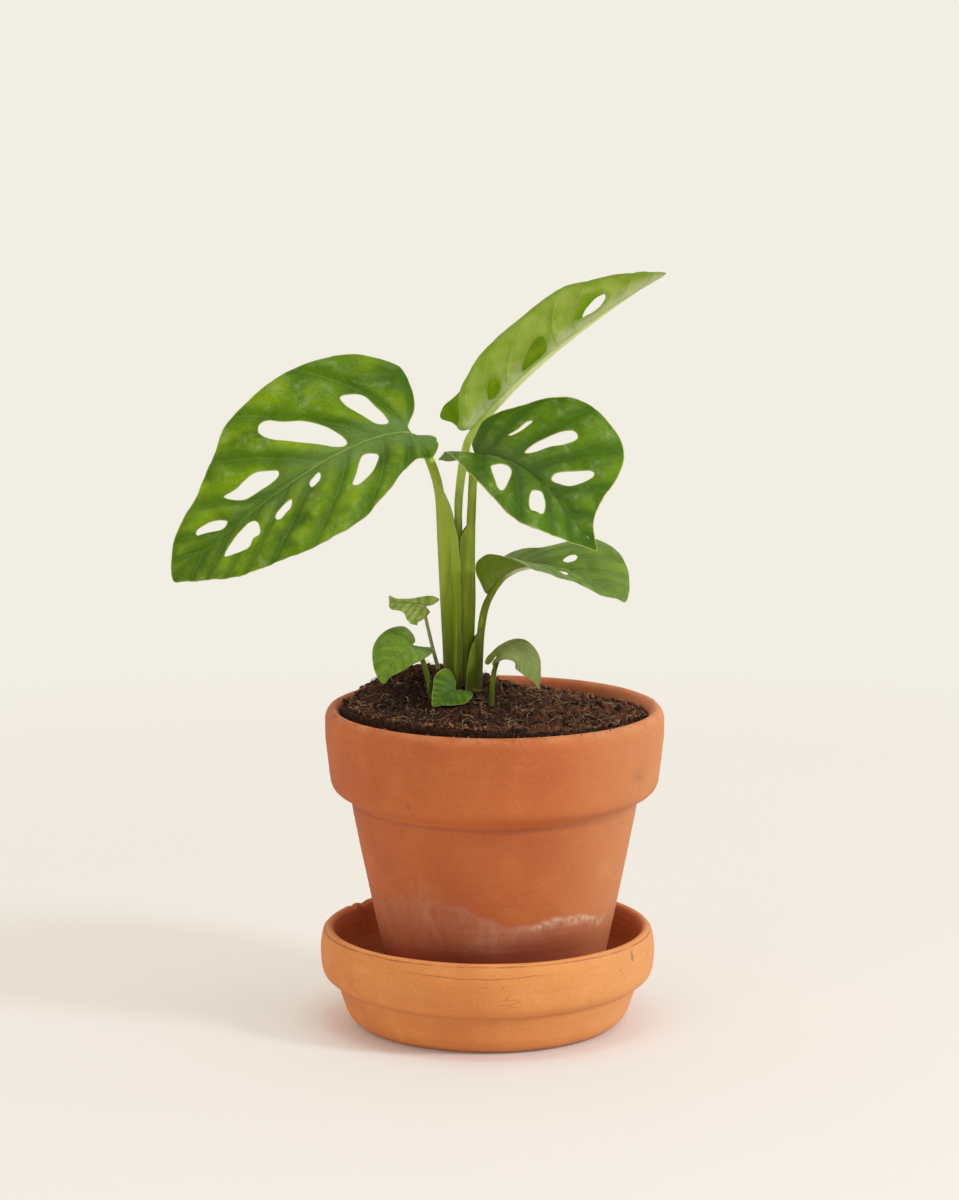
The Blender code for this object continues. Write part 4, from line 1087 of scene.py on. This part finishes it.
# Lengths in mm. Margins, holes and veins lie flat, along the midrib and across; each vein has its
# start and slope. high to wave shape the pillows, wrinkles, midrib groove and wavy edge.
leaves = {}
leaves["leaf_left"] = dict(
    piece="bladeLeft", look="green", seed=3, step=1.15, high=1.3, width=3, wrinkle=0.5, wrinkleSize=8,
    groove=0.3, wave=0.35, bow=(0.02, 0.004), folds=((8, 10, 8), (8, 8, 5)),
    facing=[(0, -0.7, 0.7), (-0.2, -0.7, 0.65)],
    rib=[(-29.1, 4, 228.3), (-53.1, -6, 231.1), (-90.3, -20, 201.2), (-117.6, -34, 177.5)],
    veins=[[(-15, -1.3), (-7, -0.5), (2, 0), (12.5, 0.1), (27, 0.5), (40.5, 1), (53, 1.3), (67, 1.4),
        (81, 1.6), (95, 1.8)],
        [(-16, -1), (-9, -0.2), (-2, 0.5), (14, 0.9), (37.5, 1.05), (63, 1.2), (78, 1.7), (93, 2)]],
    margin=[(0.5, -1.5), (-3, 0.5), (-9, 0.5), (-10, 4.5), (-8.5, 9), (-5, 13.5), (0, 14.5), (6, 17.5),
        (15, 23), (25, 29), (37, 34), (48, 35.5), (59.5, 34.5), (70.5, 32), (80.5, 27.5), (90, 22.5),
        (98, 17), (102.5, 11), (106.5, 6), (110.8, 0.5), (102.5, -9.5), (97.5, -13.5), (90.5, -16.5),
        (81, -20), (71.5, -25.5), (64.5, -30), (57, -35.5), (48, -38), (36.5, -40), (27, -40.5),
        (18.5, -39.5), (11, -38), (6.5, -35.5), (1.5, -31), (-2, -26.5), (-4, -18.5), (-3.5, -11), (0, -4)],
    holes=[[(18.8, -21.5), (14, -20.5), (11.5, -18), (10, -13.5), (8, -9), (7.5, -5), (9.5, -4.5), (12, -6),
         (14.5, -10), (18.5, -17)],
        [(47, -27.5), (43.5, -27), (40, -23.5), (33.5, -19), (28.5, -12.5), (25, -3.5), (27, -1.7),
         (30.5, -3.5), (34.5, -7.5), (41.5, -14), (47.5, -20.5), (49, -25)],
        [(74.5, -12), (70, -11.5), (61, -12), (57, -10.5), (53, -7), (56, -4.5), (66.5, -5), (71, -7)],
        [(90.5, -9), (86, -8.5), (82.5, -6.5), (80, -3.5), (83.5, -2.5), (87.5, -5), (91.5, -7.5)],
        [(34.5, 17), (30.5, 13.5), (26, 8.5), (22, 6), (17.5, 8.5), (23, 15), (29, 18), (33, 19)],
        [(47.5, 8), (46.5, 5), (41.5, 3.5), (43, 7)],
        [(66.5, 10), (64.5, 8), (57, 7), (59.5, 10.5), (65.5, 11.5)],
        [(91, 9), (86.5, 6), (75, 3.5), (72.5, 6), (75, 11), (78.5, 11), (82, 13), (86.5, 11.5)]])
leaves["leaf_right"] = dict(
    piece="bladeRight", look="dark", seed=5, step=1.05, high=1.15, width=2.4, wrinkle=0.3, wrinkleSize=6.5,
    groove=0.35, wave=0.4, bow=(0.003, 0), folds=((22, 10, 6, 6, 6), (60, 26, 14, 10, 8)),
    facing=[(-0.15, -0.72, 0.66), (0.25, -0.8, 0.55)],
    rib=[(-6.3, 0, 219.8), (11.7, -15, 225.4), (26.6, -44, 212.2), (40, -54, 191.7)],
    veins=[[(-14, -1), (-7, -0.3), (2, 0.25), (9, 0.2), (23, 0.12), (33.5, 0.4), (49, 0.6), (62, 0.9),
        (73, 1.3)],
        [(-12, -1.2), (-5, -0.2), (5, 1.1), (23.5, 1.7), (43, 2.1), (58, 2.2), (70, 2.4)]],
    margin=[(1.2, 0.2), (0, 4.5), (1.5, 9), (3.5, 14), (7, 17.5), (10.5, 20.3), (13.5, 23.3), (16.5, 27.2),
        (20, 31), (23, 33.5), (27, 34.8), (31.5, 35.6), (38, 35), (45, 33.8), (50.5, 31), (54.5, 27.3),
        (58.5, 21.5), (62, 14.5), (66.5, 8), (70.5, 4.5), (75.5, 2.2), (80.2, 0), (77, -3.5), (72, -8.5),
        (67, -14), (62, -18), (57.5, -20.5), (51, -22), (41.5, -21.7), (32.5, -21), (20.5, -19.5),
        (12, -18.5), (4, -17), (-2, -14), (-7, -10.5), (-10.5, -7.5), (-12, -4.5), (-9, -2.5), (-3, -1.2)],
    holes=[[(13.8, 9.3), (16, 12.8), (17.2, 17), (18.6, 17.8), (17.8, 13), (15, 9.5)],
        [(24.5, 5.5), (25, 10), (27, 14.5), (29.5, 19.5), (32.5, 23.2), (35.5, 22), (34.5, 17.5),
         (31.5, 13), (28.5, 8), (26, 5.5)],
        [(42.5, 4.5), (42.5, 7), (45.5, 11.5), (49.5, 16.5), (52, 16.5), (52.6, 13), (52, 8.5), (50, 5.5),
         (44.5, 3)],
        [(21.3, -9), (20.5, -7), (22.5, -3.5), (27.5, -4.3), (33, -8.5), (39, -15.5), (37, -16.5),
         (31, -14), (25.5, -11.5)],
        [(47.5, -9), (45.5, -6.5), (46.8, -4.3), (49, -4.3), (54, -6.5), (58.5, -10.5), (56.5, -12),
         (54.5, -13), (51, -11.5)]])
leaves["leaf_top"] = dict(
    piece="bladeTop", slot="leaf_young", look="young", seed=7, step=1.05, high=0.8, width=1.9, wrinkle=0.2,
    wrinkleSize=8, groove=0.2, wave=0.3, bow=(0.02, 0.026), folds=((58, 38, 30), (50, 48, 35)),
    facing=[(-0.7, 0.25, 0.62), (-0.55, 0.1, 0.8)],
    rib=[(-6.7, 14, 227.8), (9.3, 15, 248.4), (36.9, 9, 271.2), (67.6, 3, 288.9)],
    veins=[[(-10, -1), (-3, -0.2), (8, 0.5), (21, 0.7), (47, 0.4), (64, 0.9), (80, 1.2), (90, 1.5)],
        [(-12, -1), (-4, -0.3), (1.5, 0.35), (10, 0.45), (21, 0.7), (48, 0.1), (56, 0.35), (77, 0.9),
        (88, 1.2)]],
    margin=[(0.8, 0), (-2, 4), (-2.5, 10.5), (-4, 16.5), (0, 19), (6, 18.5), (14, 19.5), (24, 21), (35, 22),
        (45.5, 22.5), (56.5, 22.5), (65, 21.5), (73.5, 18), (83.5, 13), (90.5, 7.5), (97, 0), (89.5, -9.5),
        (83.5, -14.5), (73.5, -19), (65, -22.5), (56.5, -23), (45.5, -21.5), (34, -21), (23.5, -20),
        (16.5, -18), (11, -16), (6.5, -13), (1, -7.5), (-2, -6), (-2, -3)],
    holes=[[(59, -5), (61, -8.5), (66, -11), (69.5, -12), (73.5, -10.5), (74, -7.5), (71.5, -5), (67, -3.5)],
        [(30.5, -2), (35, -6), (40, -8.5), (44.5, -9.5), (45.5, -7), (44, -3.5), (41.5, -1.4), (35, -1.2)],
        [(13.5, -3), (16.5, -7), (20, -9), (22, -7), (21, -4), (18, -2), (14.5, -1.8)],
        [(60, 5), (62, 9), (68, 12), (73, 10.5), (73, 7), (69, 4.5), (64, 3.5)]])
leaves["leaf_low"] = dict(
    piece="bladeLow", look="grey", seed=9, step=0.9, high=0.45, width=1.6, wrinkle=0.25, wrinkleSize=5.5,
    groove=0.3, wave=0.3, bow=(0.01, 0.01), folds=((14, 14, 14, 12, 8), (60, 46, 20, 14, 8)),
    facing=[(-0.75, 0, 0.65), (0.05, -0.25, 0.95), (0.45, -0.5, 0.75)],
    rib=[(0.5, 4, 166.7), (6.6, 0, 181.3), (28, -14, 185.8), (51.8, -26, 168)],
    veins=[[(-9, -1), (-3, -0.2), (5, 0.8), (12, 1), (19, 1.2), (27, 1.4), (42, 1.5), (52, 1.5), (61, 1.6)],
        [(-9, -1), (-3, -0.2), (4, 0.9), (12, 1.3), (20, 1.6), (29, 1.8), (44, 1.8), (55, 1.9), (63, 2)]],
    margin=[(0.3, 0), (-2, 1.5), (-1, 7), (4, 11.5), (9, 12.8), (15, 11), (22.5, 10), (26.5, 11.2),
        (31, 14.6), (35, 18.4), (39.5, 20.8), (43.5, 21), (48.5, 20), (53.5, 17), (58, 13.5), (62, 8.5),
        (64.5, 4.5), (66.3, 0), (63, -3.5), (58, -8), (52, -11.5), (45, -14), (38, -15.5), (31, -16.5),
        (25, -17.3), (19, -17.5), (14, -17), (10, -15), (6, -10.5), (3, -6), (-0.5, -1.8)],
    holes=[[(35.5, 3.6), (36, 6.5), (38, 8.4), (39.4, 7.5), (39.4, 5.2), (37.5, 3.5)],
        [(39.2, -6.3), (40.8, -5.2), (43.4, -7), (43.8, -9.2), (41.8, -9)]])
leaves["shoot_left"] = dict(
    piece="bladeShootLeft", look="sprout", seed=13, step=0.7, spread=3, high=0.35, width=1, wrinkle=0.12,
    wrinkleSize=4, groove=0.2, wave=0.15, bow=(0.03, 0.03), folds=((6, 8, 6), (6, 8, 6)),
    facing=[(0, -0.65, 0.75), (-0.2, -0.85, 0.5)],
    rib=[(-27.7, -3, 146.6), (-33.3, -8, 147.9), (-37.8, -13, 141.9), (-39.5, -15, 134.6)],
    veins=[[(-8, -2.4), (-4, -1.2), (0, 0.4), (4.5, 0.56), (9, 0.72), (13.5, 0.87), (18, 1.03)],
        [(-8, -2.4), (-4, -1.2), (0, 0.4), (4, 0.54), (8.5, 0.7), (13, 0.86), (17.5, 1.01)]],
    margin=[(0, -1.3), (-4, -0.6), (-9.5, -0.3), (-9, 1.5), (-5, 4.2), (0, 7), (4, 8.3), (8, 8.5), (13, 7),
        (16.5, 4.5), (19.5, 1.8), (22.4, 0), (20, -3.5), (15, -7.5), (10.5, -10), (4.5, -11), (-0.5, -10.2),
        (-2.5, -6.5), (-1.8, -3)],
    holes=[])
leaves["shoot_bent"] = dict(
    piece="bladeShootBent", look="crumpled", seed=17, step=0.6, spread=3, high=0.35, width=0.8, wrinkle=1,
    wrinkleSize=2.7, groove=0.25, wave=0.3, bow=(0.04, 0.04), folds=((-25, -25, -15), (25, 25, 40)),
    facing=[(0.1, -0.85, 0.5), (0, -0.8, 0.6)],
    rib=[(-23.1, -3, 162.1), (-27.3, -4, 165), (-32.2, -6, 163.8), (-36.9, -8, 164.9)],
    veins=[[(-6, -1.8), (-3, -0.9), (0, 0.4), (3, 0.51), (6, 0.61), (9, 0.72), (12, 0.82), (15, 0.93)]] * 2,
    margin=[(0.3, 0), (-2.2, 1), (-1.5, 4), (0, 6.8), (2.5, 8.2), (6.5, 8), (9, 5), (11, 3.2), (14, 3),
        (15.6, 2), (15.6, 0), (16, -2.6), (13, -1.8), (10, -1.6), (6, -1.8), (3, -3), (0, -5), (-2.4, -5),
        (-1.5, -2)],
    holes=[])
leaves["shoot_front"] = dict(
    piece="bladeShootFront", look="dark", seed=19, step=0.6, spread=1.6, high=0.2, width=0.8, wrinkle=0.1,
    wrinkleSize=3.5, groove=0.15, wave=0.1, bow=(0.04, 0.04), folds=((10, 8, 8), (24, 12, 8)),
    facing=[(0.1, -0.65, 0.75), (0, -0.75, 0.65)],
    rib=[(-11.7, -10.5, 131.8), (-14.3, -14, 132.1), (-17.7, -18, 130.1), (-20.7, -22, 127.3)],
    veins=[[(-6, -1.8), (-3, -0.9), (0, 0.4), (3, 0.51), (6, 0.61), (9, 0.72), (12, 0.82)]] * 2,
    margin=[(0.5, 0), (-2.5, 1.2), (-5.2, 2.6), (-4, 5), (0, 7.4), (5.5, 8.5), (9, 7), (12, 3.8), (15.3, 0),
        (12, -2.8), (8.5, -5.2), (6, -7.4), (3.5, -8.8), (1, -9.2), (-1.2, -7.6), (-1.6, -3.5)],
    holes=[])
leaves["shoot_right"] = dict(
    piece="bladeShootRight", look="dull", seed=23, step=0.7, spread=2.5, high=0.22, width=0.8, wrinkle=0.12,
    wrinkleSize=3.5, groove=0.15, wave=0.12, bow=(0.04, 0.04), folds=((12, 8, 4), (5, -22, -8)),
    facing=[(-0.5, -0.3, 0.8), (0.25, -0.42, 0.85), (0.8, -0.5, 0.35)],
    rib=[(3.2, -11, 144.6), (7.3, -10, 149.4), (16.1, -8, 148.3), (19.5, -6, 130.9)],
    veins=[[(-6, -1.8), (-3, -0.9), (0, 0.8), (3.5, 0.92), (7, 1.05), (11, 1.19), (15, 1.33), (20, 1.5)]] * 2,
    margin=[(0.3, 0.2), (-4.2, 0.6), (-4.6, 3), (-2, 3.8), (1, 3.4), (4, 3.8), (6.5, 5), (9.5, 7),
        (12.5, 7.8), (17.5, 6.7), (20, 5.5), (22, 4.2), (24.5, 2.6), (27.3, 0), (24, -2), (21, -4),
        (17, -6), (13, -7.2), (9, -8.2), (5, -8.6), (2, -7.8), (-1, -5.8), (-3.4, -3.5), (-3, -1.5)],
    holes=[])


# Stalks

stemLook = tones(
    top=(180, 198, 76), tone=(138, 158, 22), low=(78, 90, 0), foot=(50, 53, 2), olive=(106, 120, 6),
    red=(112, 88, 22), paper=(206, 208, 130), light=(184, 200, 72), keel=(244, 246, 196))


# Stalk skin: yellow-green above, olive towards the soil, with fine streaks along it and pale,
# papery edges on the clasping wings; the keel under a blade takes the leaf's own pale tone. A
# cast above 0 leans to olive, one below 0 to the keel's tone.
def stemFinish(name, cast, passed):
    look = stemLook
    made, start = newFinish(name)
    wing, keel = start.own("wing", "keel")
    at = start.place()
    height = at.node("SeparateXYZ", sockets={0: at}, out=2)
    streak = at.stretched(1, 1, 0.05).noise(900, 3, 0.6)
    blotch = at.stretched(1, 1, 0.4).noise(180, 3, 0.6)
    band = at.stretched(1, 1, 0.04).noise(260, 2)
    tint = start.mixed(height.ramp(0.15, 0.215), look["tone"], look["top"]).under(
        look,
        ("low", (height + (blotch - 0.5) * 0.02).ramp(0.172, 0.132)),
        ("foot", height.ramp(0.146, 0.122)),
        ("olive" if cast > 0 else "keel", abs(cast)),
        ("light", band.ramp(0.5, 0.64) * height.ramp(0.13, 0.16) * 0.6),
        ("low", band.ramp(0.46, 0.34) * 0.3),
        ("light", streak.ramp(0.52, 0.72) * 0.4),
        ("low", streak.ramp(0.45, 0.3) * 0.4),
        ("red", blotch.ramp(0.6, 0.75) * height.ramp(0.165, 0.14) * 0.35),
        ("paper", wing * height.ramp(0.165, 0.2, 0.25, 0.9)),
        ("keel", keel.ramp(0, 0.15) * 0.9))
    body = start.skin(tint, streak * 0.25 + 0.4, (streak + blotch * 0.4, 0.5, 0.00025), 0.2)
    body.lit(wing * 0.25 + passed, (0.74, 0.86, 0.2)).ends()
    return made


# A section whose half width, core and wing are all its radius.
def roundRow(point, radius, bend, heading):
    return (*point, bend, radius, radius, radius, heading)


# Sections along a path: each an arc of its bend radius, as wide as half to both sides, thick at
# its core and thin at its wings, with fine ribs; round where half, core and wing are equal.
def stalkPiece(node, rows, keelFrom, count, finish, seed, step, blur):
    line = evenRows(rows, step, blur)
    line[:, 4:7] = np.maximum(line[:, 4:7], 0.12)
    run = runLength(line[:, :3])
    along = unit(np.gradient(line[:, :3], axis=0))
    turn = np.radians(line[:, 7])
    outward = np.column_stack([np.cos(turn), np.sin(turn), 0 * turn])
    outward = unit(outward - (outward * along).sum(1, keepdims=True) * along)
    across = np.cross(along, outward)
    bend, half, core, wing = line[:, 3:7].T[:, :, None]
    t = circle(count)
    flatness = np.clip((half - core) / half, 0, 1)
    flutter = softNoise(np.column_stack([run / 7, np.full(len(run), seed)]), seed)[:, None] * 0.04 * flatness
    swing = half / bend * np.cos(t) * (1 + flutter)
    bulge = wing + (core - wing) * np.cos(np.cos(t) * math.pi / 2) ** 1.5
    bulge = bulge * (1 + 0.05 * np.sin(11 * t + seed) * ease(0.6, 1.2, bulge))
    radius = bend + bulge * np.sin(t)
    points = (line[:, None, :3] + ((radius * np.cos(swing) - bend)[..., None] * outward[:, None])
              + (radius * np.sin(swing))[..., None] * across[:, None])
    points = np.vstack([points.reshape(-1, 3), line[0, :3], line[-1, :3]])
    wings = (ease(0.93, 0.995, np.abs(np.cos(t)))[None, :] * ease(0.3, 0.6, flatness)).ravel()
    keel = np.repeat(ease(keelFrom, run[-1], run) * (run > keelFrom), count)
    addPiece(node + "_skin", points, cappedFaces(len(line), count), finish, [node],
             {"wing": np.append(wings, [0, 0]), "keel": np.append(keel, [0, 1])}, turnOut=True)


# The midrib's keel goes on under the blade from the stalk's end, ever thinner.
def keelRows(surface, start, thick, thin, bend, heading, sunk):
    rows = []
    for share in np.linspace(0, 1, 9)[1:]:
        radius = (thick + (thin - thick) * share**0.7) * (1 - 0.8 * share**5)
        along = start + (surface.length * 0.93 - start) * share
        place = surface.under(along, sunk * (1 - 0.7 * share**5) + radius * 0.8)
        rows.append(roundRow(place, radius, bend, heading))
    return rows


# Sheath rows: x, y, z, bend radius, half width and core thickness; core rows: x, y, z and radius.
# The joint is how far along and under the midrib the stalk meets its leaf, and its radius there;
# the keel is its radius at the joint and at the tip. passed is the share of light let through.
stalkUsual = dict(slot="stem", heading=0, bend=8, sheath=[])
wingThick = 0.3
stalks = {}
stalks["petiole_left"] = dict(
    leaf="leaf_left", heading=180, bend=5.2, passed=0.18, cast=0, seed=2, joint=(0.8, 1.2, 1.25),
    keel=(1.1, 0.25),
    sheath=[(-14.9, 0, 112, 4.6, 7.6, 1.6), (-14.9, 0, 129.3, 4.6, 7.7, 1.6),
        (-15.6, 0, 148.8, 4.9, 8.7, 1.7), (-16.35, 0, 164.3, 5.2, 9.4, 1.75),
        (-17.05, 0, 179.7, 5.2, 10, 1.75), (-17.4, 0, 188.5, 5.2, 9, 1.8),
        (-17.8, 0.5, 198.9, 5.2, 7.3, 1.8), (-18.2, 1, 204.6, 5.2, 5, 1.8)],
    core=[(-19.3, 1.5, 210.3, 1.75), (-20.5, 2, 214, 1.75), (-21.9, 3, 217.7, 1.7),
        (-24.2, 4.8, 222.1, 1.6), (-26.9, 6.2, 225.2, 1.5)])
stalks["petiole_top"] = dict(
    leaf="leaf_top", slot="stem_light", passed=0.42, cast=-0.25, seed=4, joint=(0.8, 1.2, 1.45),
    keel=(1.5, 0.35),
    core=[(-10.6, 0, 112, 2.1), (-10.6, 0, 129.3, 2.1), (-11.1, 0, 164.3, 2.2), (-11.2, 0, 180, 1.9),
        (-11.2, 0.3, 188, 1.6), (-11.2, 1.4, 196.5, 1.45), (-11.1, 3, 202.4, 1.55), (-10.5, 5.2, 208, 1.6),
        (-9.8, 7.8, 213.5, 1.65), (-8.8, 10.6, 218.6, 1.6), (-7.8, 13, 223.4, 1.5)])
stalks["petiole_right"] = dict(
    leaf="leaf_right", bend=4.5, passed=0.12, cast=0.45, seed=6, joint=(1.2, 1.1, 1.25), keel=(1.1, 0.2),
    sheath=[(-6.6, 0, 112, 3.6, 4.9, 1.4), (-6.6, 0, 129.3, 3.6, 4.9, 1.4), (-6.45, 0, 148.8, 4, 5.6, 1.45),
        (-6.15, 0, 164.3, 4.5, 6.5, 1.7), (-6.4, 0, 179.7, 4.5, 6.7, 1.7), (-6.3, 0, 190, 4.5, 6.5, 1.7),
        (-6.3, 0, 192.6, 4.5, 4.2, 1.7)],
    core=[(-6.25, 0, 195.1, 1.7), (-5.9, 0.5, 202.7, 1.6), (-5.6, 1, 210.3, 1.6), (-5.4, 2, 214.8, 1.5)])
stalks["petiole_low"] = dict(
    leaf="leaf_low", bend=6.8, passed=0.12, cast=0.3, seed=8, joint=(1.5, 1.3, 1.1), keel=(1, 0.2),
    sheath=[(-3.35, 0, 112, 6.85, 9.4, 1.45), (-3.35, 0, 129.3, 6.85, 9.4, 1.45),
        (-3.3, 0, 137.1, 6.8, 8.8, 1.45), (-3, 0, 144.9, 6.8, 7.5, 1.45), (-2.8, 0, 149.5, 6.8, 6.3, 1.45)],
    core=[(-2.5, 0, 152.7, 1.42), (-1.7, 1, 158.3, 1.4), (-0.4, 2.5, 162.8, 1.35)])
stalks["stalk_left"] = dict(
    leaf="shoot_left", passed=0.15, cast=0, seed=10, joint=(0.5, 0.9, 0.75), keel=(0.5, 0.12),
    core=[(-20.8, -12, 112, 1.35), (-20.8, -12, 125, 1.3), (-21.6, -11, 130.7, 1.22),
        (-22.5, -9.3, 134.8, 1.12), (-23.7, -6.6, 138.8, 1.02), (-24.9, -3.8, 142, 0.95),
        (-26.2, -1.6, 144.2, 0.88)])
# The bent stalk's cast below 0 paints it pale: painted light, as the thin stalk stands lit.
stalks["stalk_bent"] = dict(
    leaf="shoot_bent", passed=0.15, cast=-0.5, seed=12, joint=(0.5, 0.8, 0.6), keel=(0.4, 0.12),
    core=[(-18.1, 9, 120, 0.8), (-18.1, 9, 131, 0.8), (-18.9, 8.5, 136, 0.78), (-20.5, 7, 142.1, 0.74),
        (-21.8, 5.5, 147.8, 0.7), (-23.7, 1.6, 157.2, 0.66)])
stalks["stalk_front"] = dict(
    leaf="shoot_front", passed=0.1, cast=0.4, seed=14, joint=(0.5, 0.9, 0.8), keel=(0.45, 0.12),
    core=[(-11.4, -10.9, 112, 0.95), (-11.4, -10.9, 124.5, 0.9)])
stalks["stalk_right"] = dict(
    leaf="shoot_right", passed=0.1, cast=0.35, seed=16, joint=(0.5, 0.95, 0.85), keel=(0.5, 0.12),
    core=[(1.3, -13, 112, 1.1), (1.3, -13, 125.5, 1.1), (1.5, -12.7, 131.4, 1.05), (1.9, -12.2, 135.2, 1),
        (2.4, -11.6, 138.9, 0.95)])


# A sheath or a round foot, the round core above it, the joint, and the keel under the blade.
def stalk(node, spec):
    spec = {**stalkUsual, **spec}
    leaf = leaves[spec["leaf"]]
    surface = LeafSurface(leaf)
    bend, heading = spec["bend"], spec["heading"]
    rows = [(*row, wingThick, heading) for row in spec["sheath"]]
    rows += [roundRow(row[:3], row[3], bend, heading) for row in spec["core"]]
    at, drop, radius = spec["joint"]
    rows.append(roundRow(surface.under(at, drop), radius, bend, heading))
    keelFrom = float(runLength(np.array([row[:3] for row in rows]))[-1])
    sunk = leaf["high"] * 0.35 + leaf["groove"] + 0.1
    rows += keelRows(surface, at, *spec["keel"], bend, heading, sunk)
    sectors = 56 if spec["sheath"] else 24
    step, blur = (0.8, 1.6) if spec["sheath"] or node == "petiole_top" else (0.5, 0.9)
    finish = stemFinish("skin_" + node, spec["cast"], spec["passed"])
    stalkPiece(node, rows, keelFrom, sectors, finish, spec["seed"], step, blur)


# The hidden stub in the soil keeps its own shape and gets a rooty finish.
def crown():
    made, start = newFinish("rootStub")
    mottle = start.place().stretched(1, 1, 0.3).noise(420, 4, 0.65)
    tint = start.mixed(mottle.ramp(0.35, 0.65), paint(74, 58, 34), paint(128, 112, 66))
    start.skin(tint, 0.8, (mottle, 0.6, 0.0005)).ends()
    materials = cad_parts["crown"].data.materials
    materials.clear()
    materials.append(made)


pot()
saucer()
print("clay done")
soilSkin = soilFinish()
strawSkin = fibreFinish()
soil(soilSkin)
soilLitter(soilSkin, strawSkin)
soilFibres(strawSkin)
print("soil done")
for node, shape in leaves.items():
    blade(node, shape)
print("blades done")
for node, spec in stalks.items():
    stalk(node, spec)
crown()
print("stalks done")


# Floor, light and camera

studio = {
    "backdrop": paint(242, 238, 227),
    "front": 0.5,  # how bright the surroundings are above the front
    "floor": [(0.838, 0.74, 0.703), (0.82, 0.73, 0.695)],
    "floorRadius": 90.0,
    "lamps": {
        "key": {"place": (1.5, -0.8, 1.15), "size": 0.42, "power": 23.0, "tint": (0.84, 1.0, 1.1)},
        "fill": {"place": (-1.3, -1.35, 0.95), "size": 0.9, "power": 4.5, "tint": (1.0, 0.96, 0.9)},
        "top": {"place": (-0.05, -0.3, 1.6), "size": 0.5, "power": 3.5, "tint": (1.0, 0.99, 0.97)},
    },
    "aim": (0.0, 0.0, 0.14),
    "camera": {"place": (-0.0031, -1.5036, 0.4209), "down": 9.685, "lens": 120, "sensor": 36},
}


# The floor turns into plain backdrop light far from the object; nearer, part of it is that glow as painted
# light.
def floorFinish():
    made, start = newFinish("floorPale")
    at = start.place()
    away = at.node("VectorMath", {"operation": "LENGTH"}, {0: at}, 1)
    tint = start.mixed(at.noise(60, 2).ramp(0.3, 0.7) * 0.25, *studio["floor"])
    near = start.node("BsdfPrincipled", {}, {"Base Color": tint, "Roughness": 0.75})
    far = start.node("Emission", {}, {"Color": studio["backdrop"], "Strength": 1.0})
    # glow share: a tenth under and at the saucer's foot, a painted contact shadow; half out from 85 mm,
    # painted light that lightens the shadows; all glow far off
    share = away.ramp(0.052, 0.085, 0.1, 0.5) + away.ramp(0.2, 0.8, 0, 0.5)
    start.node("MixShader", {}, {0: share, 1: near, 2: far}).ends()
    return made


# The world is at full strength behind the object and along the horizon, dimmer above the front.
def addWorld():
    world = bpy.data.worlds.new("studio")
    world.use_nodes = True
    world.node_tree.nodes.clear()
    start = Wire(world.node_tree)
    way = start.node("TexCoord", out=0)
    facing, height = (start.node("SeparateXYZ", {}, {0: way}, axis) for axis in (1, 2))
    dim = facing.ramp(0.35, -0.5) * height.ramp(0.02, 0.16) * (1.0 - studio["front"])
    start.node("Background", {}, {"Color": studio["backdrop"], "Strength": 1.0 - dim}).ends("World")
    bpy.context.scene.world = world


def stageSet():
    scene = bpy.context.scene
    sectors, floorZ = 96, -0.0002
    radii = np.geomspace(0.05, studio["floorRadius"], 12)[:, None]
    points = np.vstack([spot(radii, circle(sectors), floorZ).reshape(-1, 3), [0, 0, floorZ]])
    faces = cappedFaces(len(radii), sectors)[:2]
    floor = newObject("floor", newMesh("floor", points, faces, floorFinish()))
    addWorld()
    for name, spec in studio["lamps"].items():
        data = bpy.data.lights.new(name, "AREA")
        data.shape = "DISK"
        data.size = spec["size"]
        data.energy = spec["power"]
        data.color = spec["tint"]
        lamp = newObject(name, data)
        lamp.location = spec["place"]
        way = lamp.location - type(lamp.location)(studio["aim"])
        lamp.rotation_euler = way.to_track_quat("Z", "Y").to_euler()
    spec = studio["camera"]
    data = bpy.data.cameras.new("camera")
    data.lens = spec["lens"]
    data.sensor_width = spec["sensor"]
    camera = newObject("camera", data)
    camera.location = spec["place"]
    camera.rotation_euler = (math.radians(90 - spec["down"]), 0, 0)
    scene.camera = camera
    scene.view_settings.view_transform = "Standard"


stageSet()
